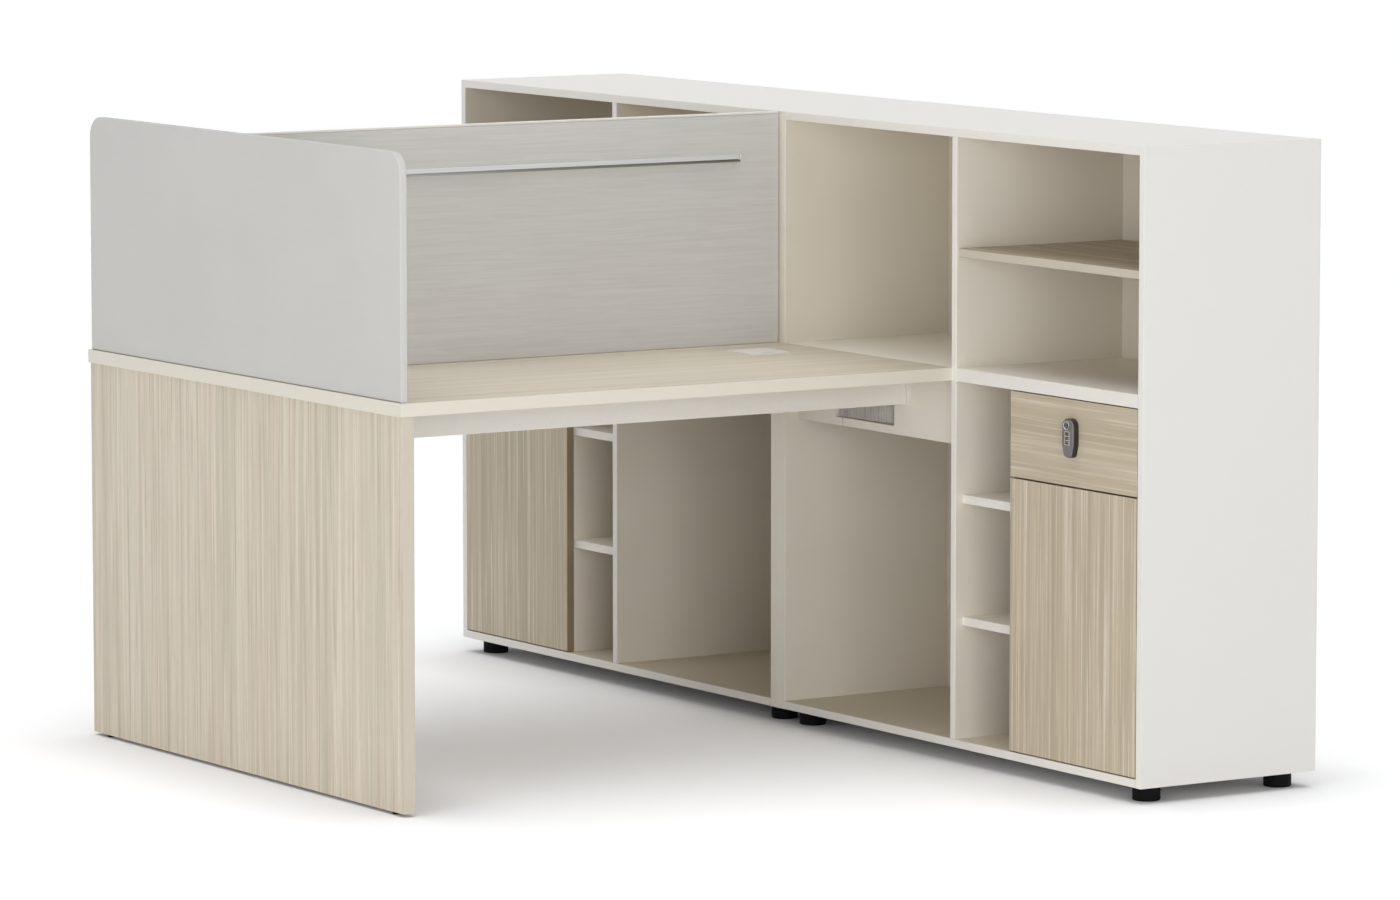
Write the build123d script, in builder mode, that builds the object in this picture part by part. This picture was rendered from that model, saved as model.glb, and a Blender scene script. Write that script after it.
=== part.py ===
from build123d import *
import math
import os

# Office workstation for two people who face each other across a low screen.
# The long desk ends against the middle of a storage wall made of two mirrored units.
# X runs along the desk towards the storage wall, Y along the wall, Z up, in millimetres.
# The origin is on the floor, under the middle of the whole footprint.
# Everything on the +Y side of the centre plane is modelled once, as the far half,
# and its mirror image is the near half.

# Driving sizes of the storage units
unit_width = 1200.0
unit_depth = 400.0
overall_height = 1200.0
wide_bay_width = 567.0
column_width = 177.0

# Driving sizes of the desk
desk_length = 1200.0
desk_width = 1190.0
desk_height = 750.0

# Boards
board = 16.0
thick_board = 25.0
edge_ease = 0.8

# Feet under the storage units
foot_height = 30.0
foot_radius = 26.0
foot_inset = 50.0

# Gaps that let fronts move, and fits
reveal = 2.0
front_gap = 3.0
door_bumper = 2.0
running_gap = 0.3
bearing_gap = 0.1
cut_overrun = 2.0

# Main planes along X
overall_length = desk_length + unit_depth
desk_end_x = -overall_length / 2
front_x = desk_end_x + desk_length
back_x = front_x + unit_depth
inner_back_x = back_x - board

# Main planes along Y, on the far half
partition_y = thick_board + wide_bay_width
column_y = partition_y + board
cupboard_partition_y = column_y + column_width
cupboard_y = cupboard_partition_y + board
outer_y = unit_width - board

# Main levels
floor_z = foot_height + board
mid_z = desk_height - thick_board
top_z = overall_height - board


def middle(span):
    """The middle of a (low, high) span."""
    return (span[0] + span[1]) / 2


def length(span):
    """The length of a (low, high) span."""
    return span[1] - span[0]


def block(x_span, y_span, z_span, mode=Mode.ADD):
    """Fills three spans, in the part that is being built."""
    with BuildSketch(Plane.XY.offset(z_span[0])) as outline:
        with Locations((middle(x_span), middle(y_span))):
            Rectangle(length(x_span), length(y_span))
    extrude(outline.sketch, amount=length(z_span), mode=mode)


def rod(plane, centre, radius, depth, mode=Mode.ADD):
    """A round rod, or a drilled hole, that starts on a plane and follows its normal."""
    with BuildSketch(plane) as outline:
        with Locations(centre):
            Circle(radius)
    extrude(outline.sketch, amount=depth, mode=mode)


def board_piece(x_span, y_span, z_span, banded_axis):
    """A flat board whose front edge is banded: the two long corners of the band are bevelled."""
    with BuildPart() as piece:
        block(x_span, y_span, z_span)
        banded = piece.faces().sort_by(Axis.X)[0].edges().filter_by(banded_axis)
        chamfer(banded, edge_ease)
    return piece.part


# Half of the design: name of each piece on the far half, and its part
half_pieces = {}

# Carcass of one storage unit
half_pieces["centre_panel"] = board_piece(
    (front_x, back_x), (0, thick_board), (foot_height, overall_height), Axis.Z
)
half_pieces["top_panel"] = board_piece(
    (front_x, back_x), (thick_board, outer_y), (top_z, overall_height), Axis.Y
)
half_pieces["bottom_panel"] = board_piece(
    (front_x, back_x), (thick_board, outer_y), (foot_height, floor_z), Axis.Y
)
half_pieces["mid_bay_panel"] = board_piece(
    (front_x, inner_back_x), (thick_board, partition_y), (mid_z, desk_height), Axis.Y
)
half_pieces["back_panel"] = board_piece(
    (inner_back_x, back_x), (thick_board, outer_y), (floor_z, top_z), Axis.Z
)
fronts_back_x = front_x + board
set_back_x = fronts_back_x + door_bumper
half_pieces["cupboard_partition"] = board_piece(
    (set_back_x, inner_back_x), (cupboard_partition_y, cupboard_y), (floor_z, mid_z), Axis.Z
)

# Shelf of the upper outer bay, on four pins in blind holes
shelf_setback = 5.0
shelf_side_gap = 1.0
shelf_back_gap = 2.0
pin_radius = 2.5
pin_socket_depth = 8.0
pin_proud = 7.0
pin_inset = 50.0
shelf_z = (desk_height + top_z - board) / 2
pin_z = shelf_z - pin_radius
pin_places = ((front_x + pin_inset, pin_z), (inner_back_x - pin_inset, pin_z))
pin_hole_radius = pin_radius + bearing_gap
pin_hole_depth = pin_socket_depth + running_gap

wood_shelf = board_piece(
    (front_x + shelf_setback, inner_back_x - shelf_back_gap),
    (column_y + shelf_side_gap, outer_y - shelf_side_gap),
    (shelf_z, shelf_z + board),
    Axis.Y,
)

with BuildPart() as end_panel:
    block((front_x, back_x), (outer_y, unit_width), (foot_height, overall_height))
    chamfer(end_panel.faces().sort_by(Axis.X)[0].edges().filter_by(Axis.Z), edge_ease)
    for place in pin_places:
        rod(Plane.XZ.offset(-outer_y), place, pin_hole_radius, -pin_hole_depth, Mode.SUBTRACT)
half_pieces["end_panel"] = end_panel.part

with BuildPart() as bay_partition:
    block((front_x, inner_back_x), (partition_y, column_y), (floor_z, top_z))
    chamfer(bay_partition.faces().sort_by(Axis.X)[0].edges().filter_by(Axis.Z), edge_ease)
    for place in pin_places:
        rod(Plane.XZ.offset(-column_y), place, pin_hole_radius, pin_hole_depth, Mode.SUBTRACT)
half_pieces["bay_partition"] = bay_partition.part

with BuildPart() as shelf_pins:
    for place in pin_places:
        rod(Plane.XZ.offset(-outer_y - pin_socket_depth), place, pin_radius, pin_socket_depth + pin_proud)
        rod(Plane.XZ.offset(pin_socket_depth - column_y), place, pin_radius, -pin_socket_depth - pin_proud)

# Two shelves that part the open column into three equal bays
column_bays = 3
column_bay_height = (mid_z - floor_z - (column_bays - 1) * board) / column_bays
with BuildPart() as column_shelves:
    for number in range(1, column_bays):
        low = floor_z + number * column_bay_height + (number - 1) * board
        block((set_back_x, inner_back_x), (column_y, cupboard_partition_y), (low, low + board))

# Rail that closes the top of the wide lower bay, with a slot for cables and a slit to enter them
rail_setback = 30.0
rail_height = 125.0
slot_width = 200.0
slot_height = 60.0
slot_rise = 16.0
slot_inset = 133.0
slit_width = 2.0
slit_inset = 22.0
rail_x = front_x + rail_setback
rail_z = mid_z - rail_height
slot_y = thick_board + slot_inset
slot_z = rail_z + slot_rise
slit_y = slot_y + slit_inset
with BuildPart() as front_rail:
    block((rail_x, rail_x + board), (thick_board, partition_y), (rail_z, mid_z))
    chamfer(front_rail.faces().sort_by(Axis.Z)[0].edges().filter_by(Axis.Y), edge_ease)
    with BuildSketch(Plane.YZ.offset(rail_x)) as cable_slot:
        with Locations((slot_y + slot_width / 2, slot_z + slot_height / 2)):
            Rectangle(slot_width, slot_height)
        with Locations((slit_y + slit_width / 2, slot_z - slot_rise / 2)):
            Rectangle(slit_width, slot_rise)
    extrude(cable_slot.sketch, amount=board, mode=Mode.SUBTRACT)
half_pieces["front_rail"] = front_rail.part

# Brush in the cable slot: a holder under the slot's top edge, with two rows of hanging bristles
holder_height = 10.0
holder_depth = 10.0
bristle_radius = 0.65
bristle_sides = 3
bristle_rows = 2
bristle_row_gap = 4.0
bristles_per_row = 76
bristle_root = 2.0
bristle_clearance = 3.0
bristle_ragged = 5.0
bristle_sway = 2.0
sway_period_share = 0.23
ragged_period_share = 0.061
bristle_margin = bristle_sway + 2 * bristle_radius
bristle_pitch = (slot_width - 2 * bristle_margin) / (bristles_per_row - 1)
holder_z = slot_z + slot_height - holder_height
bristle_fall = holder_z - slot_z - bristle_clearance
brush_x = rail_x + board / 2
strands = []
for row in range(bristle_rows):
    row_x = brush_x + (row - (bristle_rows - 1) / 2) * bristle_row_gap
    for number in range(bristles_per_row):
        root_y = slot_y + bristle_margin + number * bristle_pitch
        turn = 2 * math.pi * (number + row / bristle_rows) / bristles_per_row
        sway = bristle_sway * math.sin(turn / sway_period_share)
        fall = bristle_fall - bristle_ragged * (1 + math.sin(turn / ragged_period_share)) / 2
        drop = Vector(0, sway, -fall - bristle_root)
        with BuildSketch(Plane.XY.offset(holder_z + bristle_root)) as root:
            with Locations((row_x, root_y)):
                RegularPolygon(bristle_radius, bristle_sides)
        strands.append(extrude(root.sketch, amount=drop.length, dir=drop.normalized(), mode=Mode.PRIVATE))
with BuildPart() as brush_strip:
    block(
        (brush_x - holder_depth / 2, brush_x + holder_depth / 2),
        (slot_y, slot_y + slot_width),
        (holder_z, holder_z + holder_height),
    )
    add(strands)
half_pieces["brush_strip"] = brush_strip.part

# Drawer front and door, inset between the end panel and the open column
fronts_y = (cupboard_partition_y, outer_y - reveal)
drawer_front_height = 160.0
drawer_front_z = (mid_z - reveal - drawer_front_height, mid_z - reveal)
door_z = (floor_z + reveal, drawer_front_z[0] - front_gap)

# Lock, on the middle of the drawer front and a little above its centre
lock_width = 36.0
lock_foot_width = 22.0
lock_height = 72.0
lock_back_wall = 1.7
lock_rise = 10.0
lock_taper_height = 24.0
lock_shoulder_round = 16.0
lock_foot_round = 7.0
lock_edge_chamfer = 1.5
wheel_count = 3
wheel_radius = 6.0
wheel_height = 6.0
wheel_web = 1.4
wheel_sides = 10
wheel_proud = 1.0
wheel_pitch = wheel_height + 2 * running_gap + wheel_web
lock_depth = 2 * wheel_radius - wheel_proud + running_gap + lock_back_wall
lock_y = middle(fronts_y)
lock_z = middle(drawer_front_z) + lock_rise
lock_face_x = front_x - lock_depth
lock_plane = Plane(origin=(lock_face_x, lock_y, lock_z), x_dir=(0, 1, 0), z_dir=(1, 0, 0))
sleeve_radius = 7.0
sleeve_proud = 6.0
spindle_radius = 3.0
knob_radius = 8.5
knob_proud = 3.0
knob_dish = 1.5
knob_rim = 2.0
knob_edge_chamfer = 0.8
knob_grip_width = 4.0
knob_drop = 12.0
key_slot_width = 1.0
key_slot_length = 6.0
key_slot_depth = 1.0
knob_z = lock_z + lock_height / 2 - knob_drop
knob_back_x = lock_face_x - running_gap
axle_radius = 1.5
wheel_x = lock_face_x - wheel_proud + wheel_radius
first_wheel_z = lock_z + wheel_pitch
wheel_levels = [first_wheel_z - number * wheel_pitch for number in range(wheel_count)]
cam_thickness = 2.5
cam_width = 12.0
cam_reach = 38.0
cam_corner = 3.0
cam_x = fronts_back_x + sleeve_proud + running_gap
strike_radius = 2.0
strike_length = 30.0
strike_socket_depth = 10.0
strike_gap = 1.0
strike_x = cam_x - strike_gap - strike_radius

with BuildPart() as mid_outer_panel:
    block((front_x, inner_back_x), (column_y, outer_y), (mid_z, desk_height))
    chamfer(mid_outer_panel.faces().sort_by(Axis.X)[0].edges().filter_by(Axis.Y), edge_ease)
    rod(
        Plane.XY.offset(mid_z),
        (strike_x, lock_y),
        strike_radius + bearing_gap,
        strike_socket_depth + running_gap,
        Mode.SUBTRACT,
    )
half_pieces["mid_outer_panel"] = mid_outer_panel.part

with BuildPart() as drawer_front:
    block((front_x, fronts_back_x), fronts_y, drawer_front_z)
    chamfer(drawer_front.faces().sort_by(Axis.X)[0].edges(), edge_ease)
    rod(Plane.YZ.offset(front_x), (lock_y, knob_z), sleeve_radius + running_gap, board, Mode.SUBTRACT)
half_pieces["drawer_front"] = drawer_front.part

with BuildPart() as lock_body:
    with BuildSketch(lock_plane) as lock_outline:
        with BuildLine():
            Polyline(
                (-lock_width / 2, lock_height / 2),
                (lock_width / 2, lock_height / 2),
                (lock_width / 2, lock_taper_height - lock_height / 2),
                (lock_foot_width / 2, -lock_height / 2),
                (-lock_foot_width / 2, -lock_height / 2),
                (-lock_width / 2, lock_taper_height - lock_height / 2),
                close=True,
            )
        make_face()
        fillet(lock_outline.vertices().group_by(Axis.Y)[-1], lock_shoulder_round)
        fillet(lock_outline.vertices().group_by(Axis.Y)[0], lock_foot_round)
    extrude(amount=lock_depth)
    chamfer(lock_body.faces().sort_by(Axis.X)[0].edges(), lock_edge_chamfer)
    rod(Plane.YZ.offset(front_x), (lock_y, knob_z), sleeve_radius, board + sleeve_proud)
    rod(
        Plane.YZ.offset(lock_face_x),
        (lock_y, knob_z),
        spindle_radius + bearing_gap,
        lock_depth + board + sleeve_proud,
        Mode.SUBTRACT,
    )
    for level in wheel_levels:
        block(
            (lock_face_x - cut_overrun, wheel_x + wheel_radius + running_gap),
            (lock_y - wheel_radius - running_gap, lock_y + wheel_radius + running_gap),
            (level - wheel_height / 2 - running_gap, level + wheel_height / 2 + running_gap),
            Mode.SUBTRACT,
        )
    rod(
        Plane.XY.offset(wheel_levels[-1] - wheel_pitch / 2),
        (wheel_x, lock_y),
        axle_radius,
        wheel_count * wheel_pitch,
    )
half_pieces["lock_body"] = lock_body.part

for number, level in enumerate(wheel_levels, start=1):
    with BuildPart() as lock_wheel:
        with BuildSketch(Plane.XY.offset(level - wheel_height / 2)):
            with Locations((wheel_x, lock_y)):
                RegularPolygon(wheel_radius, wheel_sides)
                Circle(axle_radius + bearing_gap, mode=Mode.SUBTRACT)
        extrude(amount=wheel_height)
    half_pieces[f"lock_wheel_{number}"] = lock_wheel.part

with BuildPart() as lock_knob:
    rod(Plane.YZ.offset(knob_back_x), (lock_y, knob_z), knob_radius, -knob_proud)
    chamfer(lock_knob.faces().sort_by(Axis.X)[0].edges(), knob_edge_chamfer)
    with BuildSketch(Plane.YZ.offset(knob_back_x - knob_proud)) as knob_dishes:
        with Locations((lock_y, knob_z)):
            Circle(knob_radius - knob_rim)
            Rectangle(knob_grip_width, 2 * knob_radius, mode=Mode.SUBTRACT)
    extrude(knob_dishes.sketch, amount=knob_dish, mode=Mode.SUBTRACT)
    with BuildSketch(Plane.YZ.offset(knob_back_x - knob_proud)) as key_slot:
        with Locations((lock_y, knob_z)):
            Rectangle(key_slot_width, key_slot_length)
    extrude(key_slot.sketch, amount=key_slot_depth, mode=Mode.SUBTRACT)
    rod(
        Plane.YZ.offset(knob_back_x),
        (lock_y, knob_z),
        spindle_radius,
        cam_x + cam_thickness - knob_back_x,
    )
half_pieces["lock_knob"] = lock_knob.part

with BuildPart() as lock_cam:
    with BuildSketch(Plane.YZ.offset(cam_x)) as lock_blade:
        with Locations((lock_y + (cam_reach - cam_width / 2) / 2, knob_z)):
            Rectangle(cam_reach + cam_width / 2, cam_width)
        chamfer(lock_blade.vertices(), cam_corner)
        with Locations((lock_y, knob_z)):
            Circle(spindle_radius + bearing_gap / 2, mode=Mode.SUBTRACT)
    extrude(amount=cam_thickness)
half_pieces["lock_cam"] = lock_cam.part

# Strike pin in the board above: the cam turns up behind it and holds the drawer shut
with BuildPart() as lock_strikes:
    rod(
        Plane.XY.offset(mid_z + strike_socket_depth),
        (strike_x, lock_y),
        strike_radius,
        -strike_length,
    )

# Drawer: a folded steel tub whose side rims slide in two channels
tub_back_gap = 18.0
tub_height = 85.0
tub_sheet = 2.0
tub_corner_radius = 6.0
tub_rise = 9.0
runner_depth = 12.5
runner_sheet = 2.0
runner_gap = 0.5
runner_back_gap = 9.0
tub_x = (fronts_back_x, inner_back_x - tub_back_gap)
tub_y = (cupboard_y + runner_depth + runner_gap, outer_y - runner_depth - runner_gap)
tub_z = (drawer_front_z[0] + tub_rise, drawer_front_z[0] + tub_rise + tub_height)
rim_z = (tub_z[1] - tub_sheet, tub_z[1])
rim_y = (cupboard_y + runner_sheet + runner_gap, outer_y - runner_sheet - runner_gap)
with BuildPart() as drawer_box:
    block(tub_x, tub_y, tub_z)
    fillet(drawer_box.edges().filter_by(Axis.Z).group_by(Axis.X)[-1], tub_corner_radius)
    offset(amount=-tub_sheet, openings=drawer_box.faces().sort_by(Axis.Z)[-1])
    block(tub_x, (rim_y[0], tub_y[0] + tub_sheet), rim_z)
    block(tub_x, (tub_y[1] - tub_sheet, rim_y[1]), rim_z)
half_pieces["drawer_box"] = drawer_box.part

# Channels on the cupboard's sides, open towards the tub
runner_x = (set_back_x + reveal, inner_back_x - runner_back_gap)
runner_slot = (rim_z[0] - running_gap, rim_z[1] + running_gap)
with BuildPart() as drawer_runners:
    for wall_y, inward in ((cupboard_y, 1), (outer_y, -1)):
        with BuildSketch(Plane.YZ.offset(runner_x[0])) as channel:
            with Locations((wall_y + inward * runner_depth / 2, middle(runner_slot))):
                Rectangle(runner_depth, length(runner_slot) + 2 * runner_sheet)
            with Locations((wall_y + inward * (runner_depth + runner_sheet) / 2, middle(runner_slot))):
                Rectangle(runner_depth - runner_sheet, length(runner_slot), mode=Mode.SUBTRACT)
        extrude(channel.sketch, amount=length(runner_x))

# Door on two concealed hinges at the end panel, turning about its own front outer corner
hinge_end_inset = 70.0
cup_radius = 17.5
cup_depth = 11.0
cup_sheet = 1.0
cup_wall = 2.0
cup_edge_wall = 4.5
cup_wing_length = 54.0
cup_wing_width = 14.0
arm_width = 14.0
arm_sheet = 2.0
arm_plate_length = 50.0
arm_plate_height = 40.0
arm_plate_setback = 16.0
cup_y = fronts_y[1] - cup_edge_wall - cup_radius
hinge_levels = (door_z[0] + hinge_end_inset, door_z[1] - hinge_end_inset)
wing_x = (fronts_back_x, fronts_back_x + cup_sheet)
arm_x = wing_x[1] + running_gap
with BuildPart() as door:
    block((front_x, fronts_back_x), fronts_y, door_z)
    chamfer(door.faces().sort_by(Axis.X)[0].edges(), edge_ease)
    for level in hinge_levels:
        rod(
            Plane.YZ.offset(fronts_back_x),
            (cup_y, level),
            cup_radius + running_gap,
            -cup_depth - running_gap,
            Mode.SUBTRACT,
        )
half_pieces["door"] = door.part

with BuildPart() as hinge_cups:
    for level in hinge_levels:
        with BuildSketch(Plane.YZ.offset(wing_x[0])) as wings:
            with Locations((cup_y, level)):
                Rectangle(cup_wing_width, cup_wing_length)
        extrude(wings.sketch, amount=cup_sheet)
        rod(Plane.YZ.offset(wing_x[1]), (cup_y, level), cup_radius, -cup_sheet - cup_depth)
        rod(Plane.YZ.offset(wing_x[1]), (cup_y, level), cup_radius - cup_wall, -cup_depth, Mode.SUBTRACT)
half_pieces["hinge_cups"] = hinge_cups.part

# Hinge arm: a plate on the end panel, a channel along it, and a tongue over the cup's mouth
with BuildPart() as hinge_arms:
    for level in hinge_levels:
        plate_x = (arm_x + arm_plate_setback, arm_x + arm_plate_setback + arm_plate_length)
        block(
            plate_x,
            (outer_y - arm_sheet, outer_y),
            (level - arm_plate_height / 2, level + arm_plate_height / 2),
        )
        arm_z = (level - arm_width / 2, level + arm_width / 2)
        block((arm_x, plate_x[1]), (outer_y - 2 * arm_sheet, outer_y - arm_sheet), arm_z)
        block((arm_x, arm_x + arm_sheet), (cup_y, outer_y - arm_sheet), arm_z)

# Desk: a full-width leg panel stands under its free end, on two small glides
leg_inset_end = 4.0
leg_inset_side = 2.0
glide_height = 6.0
glide_radius = 8.0
glide_inset = 48.0
leg_x = (desk_end_x + leg_inset_end, desk_end_x + leg_inset_end + thick_board)
leg_half_width = desk_width / 2 - leg_inset_side
with BuildPart() as leg_panel:
    block(leg_x, (-leg_half_width, leg_half_width), (glide_height, mid_z))
    chamfer(leg_panel.edges().filter_by(Axis.Z), edge_ease)

with BuildPart() as leg_glides:
    for glide_y in (glide_inset - leg_half_width, leg_half_width - glide_inset):
        rod(Plane.XY, (middle(leg_x), glide_y), glide_radius, glide_height)

# Beams under the desktop: rectangular tubes with plates welded over their ends
beam_setback = 195.0
beam_height = 63.0
beam_depth = 30.0
beam_sheet = 2.0
beam_plate = 4.0
beam_plate_width = 44.0
beam_y = (desk_width / 2 - beam_setback - beam_depth, desk_width / 2 - beam_setback)
beam_z = (mid_z - beam_height, mid_z)
beam_x = (leg_x[1], rail_x)
plate_y = (middle(beam_y) - beam_plate_width / 2, middle(beam_y) + beam_plate_width / 2)
with BuildPart() as desk_beam:
    with BuildSketch(Plane.YZ.offset(beam_x[0])) as beam_profile:
        with Locations((middle(beam_y), middle(beam_z))):
            Rectangle(beam_depth, beam_height)
            Rectangle(beam_depth - 2 * beam_sheet, beam_height - 2 * beam_sheet, mode=Mode.SUBTRACT)
    extrude(beam_profile.sketch, amount=length(beam_x))
    block((beam_x[0], beam_x[0] + beam_plate), plate_y, beam_z)
    block((beam_x[1] - beam_plate, beam_x[1]), plate_y, beam_z)

# Cable flaps in the desktop's back corners: a frame through the desktop and a hinged lid
flap_margin = 100.0
flap_opening = 76.0
flap_tube_wall = 2.0
flap_rim = 5.0
flap_flange = 2.5
flap_corner = 3.0
flap_tube_drop = 2.0
flap_pin_radius = 0.9
flap_pin_length = 1.6
flap_ledge_width = 3.0
flap_ledge_height = 3.0
flap_notch_length = 40.0
flap_notch_depth = 10.0
flap_notch_corner = 3.0
screen_thickness = 16.0
screen_gap = 5.0
flap_tube_size = flap_opening + 2 * flap_tube_wall
flap_frame_size = flap_tube_size + 2 * flap_rim
flap_x = front_x - flap_margin - flap_frame_size / 2
flap_y = screen_thickness / 2 + flap_margin + flap_frame_size / 2
flap_top_z = desk_height + flap_flange
lid_y = (flap_y - flap_opening / 2 + running_gap, flap_y + flap_opening / 2 - running_gap)
lid_x = (flap_x - flap_opening / 2 + running_gap, flap_x + flap_opening / 2 - running_gap)
flap_axis_y = lid_y[0] + flap_flange / 2
flap_axis_z = flap_top_z - flap_flange / 2
with BuildPart() as flap_frame:
    with BuildSketch(Plane.XY.offset(desk_height)) as flange_outline:
        with Locations((flap_x, flap_y)):
            Rectangle(flap_frame_size, flap_frame_size)
        chamfer(flange_outline.vertices(), flap_corner)
    extrude(flange_outline.sketch, amount=flap_flange)
    with BuildSketch(Plane.XY.offset(desk_height)) as tube_outline:
        with Locations((flap_x, flap_y)):
            Rectangle(flap_tube_size, flap_tube_size)
    extrude(tube_outline.sketch, amount=-thick_board - flap_tube_drop)
    with BuildSketch(Plane.XY.offset(flap_top_z)) as flap_hole:
        with Locations((flap_x, flap_y)):
            Rectangle(flap_opening, flap_opening)
    extrude(flap_hole.sketch, amount=-flap_flange - thick_board - flap_tube_drop, mode=Mode.SUBTRACT)
    block(
        (flap_x - flap_opening / 2, flap_x + flap_opening / 2),
        (flap_y + flap_opening / 2 - flap_ledge_width, flap_y + flap_opening / 2),
        (desk_height - running_gap - flap_ledge_height, desk_height - running_gap),
    )
    block(
        (flap_x - flap_notch_length / 2, flap_x + flap_notch_length / 2),
        (flap_y + flap_opening / 2 - flap_ledge_width, flap_y + flap_opening / 2),
        (desk_height - running_gap - flap_ledge_height, desk_height - running_gap),
        Mode.SUBTRACT,
    )
    for face_x, outward in ((flap_x - flap_opening / 2, -1), (flap_x + flap_opening / 2, 1)):
        rod(
            Plane.YZ.offset(face_x),
            (flap_axis_y, flap_axis_z),
            flap_pin_radius + bearing_gap,
            outward * (flap_pin_length + running_gap),
            Mode.SUBTRACT,
        )
half_pieces["flap_frame"] = flap_frame.part

with BuildPart() as flap:
    with BuildSketch(Plane.YZ.offset(lid_x[0])) as lid_section:
        with Locations((flap_axis_y, flap_axis_z)):
            Circle(flap_flange / 2)
        with Locations(((flap_axis_y + lid_y[1]) / 2, flap_axis_z)):
            Rectangle(lid_y[1] - flap_axis_y, flap_flange)
    extrude(lid_section.sketch, amount=length(lid_x))
    with BuildSketch(Plane.XY.offset(desk_height)) as notch:
        with Locations((flap_x, lid_y[1])):
            Rectangle(flap_notch_length, 2 * flap_notch_depth)
        chamfer(notch.vertices(), flap_notch_corner)
    extrude(notch.sketch, amount=flap_flange, mode=Mode.SUBTRACT)
    for face_x, outward in ((lid_x[0], -1), (lid_x[1], 1)):
        rod(
            Plane.YZ.offset(face_x),
            (flap_axis_y, flap_axis_z),
            flap_pin_radius,
            outward * (flap_pin_length - running_gap),
        )
half_pieces["flap"] = flap.part

with BuildPart() as desktop:
    block((desk_end_x, front_x), (-desk_width / 2, desk_width / 2), (mid_z, desk_height))
    chamfer(desktop.edges().filter_by(Axis.X), edge_ease)
    with BuildSketch(Plane.XY.offset(mid_z)) as flap_cutouts:
        with Locations((flap_x, flap_y), (flap_x, -flap_y)):
            Rectangle(flap_tube_size + 2 * running_gap, flap_tube_size + 2 * running_gap)
    extrude(flap_cutouts.sketch, amount=thick_board, mode=Mode.SUBTRACT)

# Screens on the desktop: one across its free end and one along the centre
end_screen_thickness = 15.0
end_screen_inset_side = 6.0
end_screen_corner_radius = 40.0
end_screen_x = (leg_x[0], leg_x[0] + end_screen_thickness)
end_screen_half_width = desk_width / 2 - end_screen_inset_side
screen_edge_bevel = 1.5
with BuildPart() as end_screen:
    block(end_screen_x, (-end_screen_half_width, end_screen_half_width), (desk_height, overall_height))
    fillet(end_screen.edges().filter_by(Axis.X).group_by(Axis.Z)[-1], end_screen_corner_radius)
    for face in (end_screen.faces().sort_by(Axis.X)[0], end_screen.faces().sort_by(Axis.X)[-1]):
        rounded = face.edges().filter_by(lambda edge: edge.center().Z > desk_height)
        chamfer(rounded, screen_edge_bevel)

centre_screen_x = (end_screen_x[1], front_x - screen_gap)
with BuildPart() as centre_screen:
    block(
        centre_screen_x,
        (-screen_thickness / 2, screen_thickness / 2),
        (desk_height, overall_height),
    )
    chamfer(centre_screen.faces().sort_by(Axis.Z)[-1].edges().filter_by(Axis.X), screen_edge_bevel)

# Aluminium accessory rail on each face of the centre screen: a nosing, a groove and a lip
accessory_rail_height = 14.0
accessory_rail_depth = 8.0
accessory_rail_base = 2.0
accessory_groove = 2.5
accessory_lip = 3.0
accessory_rail_drop = 94.0
accessory_rail_inset = 93.0
accessory_rail_x = (centre_screen_x[0] + accessory_rail_inset, centre_screen_x[1] - accessory_rail_inset)
accessory_rail_z = overall_height - accessory_rail_drop
accessory_y = screen_thickness / 2
with BuildPart() as accessory_rail:
    with BuildSketch(Plane.YZ.offset(accessory_rail_x[0])) as rail_section:
        with BuildLine():
            Polyline(
                (accessory_y, accessory_rail_z),
                (accessory_y + accessory_rail_depth, accessory_rail_z),
                (accessory_y + accessory_rail_depth, accessory_rail_z + accessory_lip),
                (accessory_y + accessory_rail_base, accessory_rail_z + accessory_lip),
                (accessory_y + accessory_rail_base, accessory_rail_z + accessory_lip + accessory_groove),
                (accessory_y + accessory_rail_depth, accessory_rail_z + accessory_lip + accessory_groove),
                (accessory_y + accessory_rail_base, accessory_rail_z + accessory_rail_height),
                (accessory_y, accessory_rail_z + accessory_rail_height),
                close=True,
            )
        make_face()
    extrude(rail_section.sketch, amount=length(accessory_rail_x))

# Round feet, four under each unit
feet_places = [
    (x, y)
    for x in (front_x + foot_inset, back_x - foot_inset)
    for y in (foot_inset, unit_width - foot_inset)
]
with BuildPart() as cabinet_feet:
    with BuildSketch(Plane.XY):
        with Locations(*feet_places):
            Circle(foot_radius)
    extrude(amount=foot_height)


def mirrored(part):
    """The near half's copy of a far piece."""
    return mirror(part, about=Plane.XZ)


def keep(part, name):
    """Labels a finished piece and writes it."""
    part.label = name
    export_step(part, f"parts/{name}.step")


os.makedirs("parts", exist_ok=True)
for name, part in half_pieces.items():
    keep(part, f"far_{name}")
    keep(mirrored(part), f"near_{name}")

# Pieces that cross the centre plane
for name, part in (
    ("desktop", desktop.part),
    ("leg_panel", leg_panel.part),
    ("leg_glides", leg_glides.part),
    ("end_screen", end_screen.part),
    ("centre_screen", centre_screen.part),
):
    keep(part, name)

# Small repeated pieces of both halves, each kind in one group of separate solids
for name, part in (
    ("desk_beams", desk_beam.part),
    ("accessory_rails", accessory_rail.part),
    ("wood_shelves", wood_shelf),
    ("column_shelves", column_shelves.part),
    ("cabinet_feet", cabinet_feet.part),
    ("drawer_runners", drawer_runners.part),
    ("hinge_arms", hinge_arms.part),
    ("lock_strikes", lock_strikes.part),
    ("shelf_pins", shelf_pins.part),
):
    keep(Part(children=[*part.solids(), *mirrored(part).solids()]), name)
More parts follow.
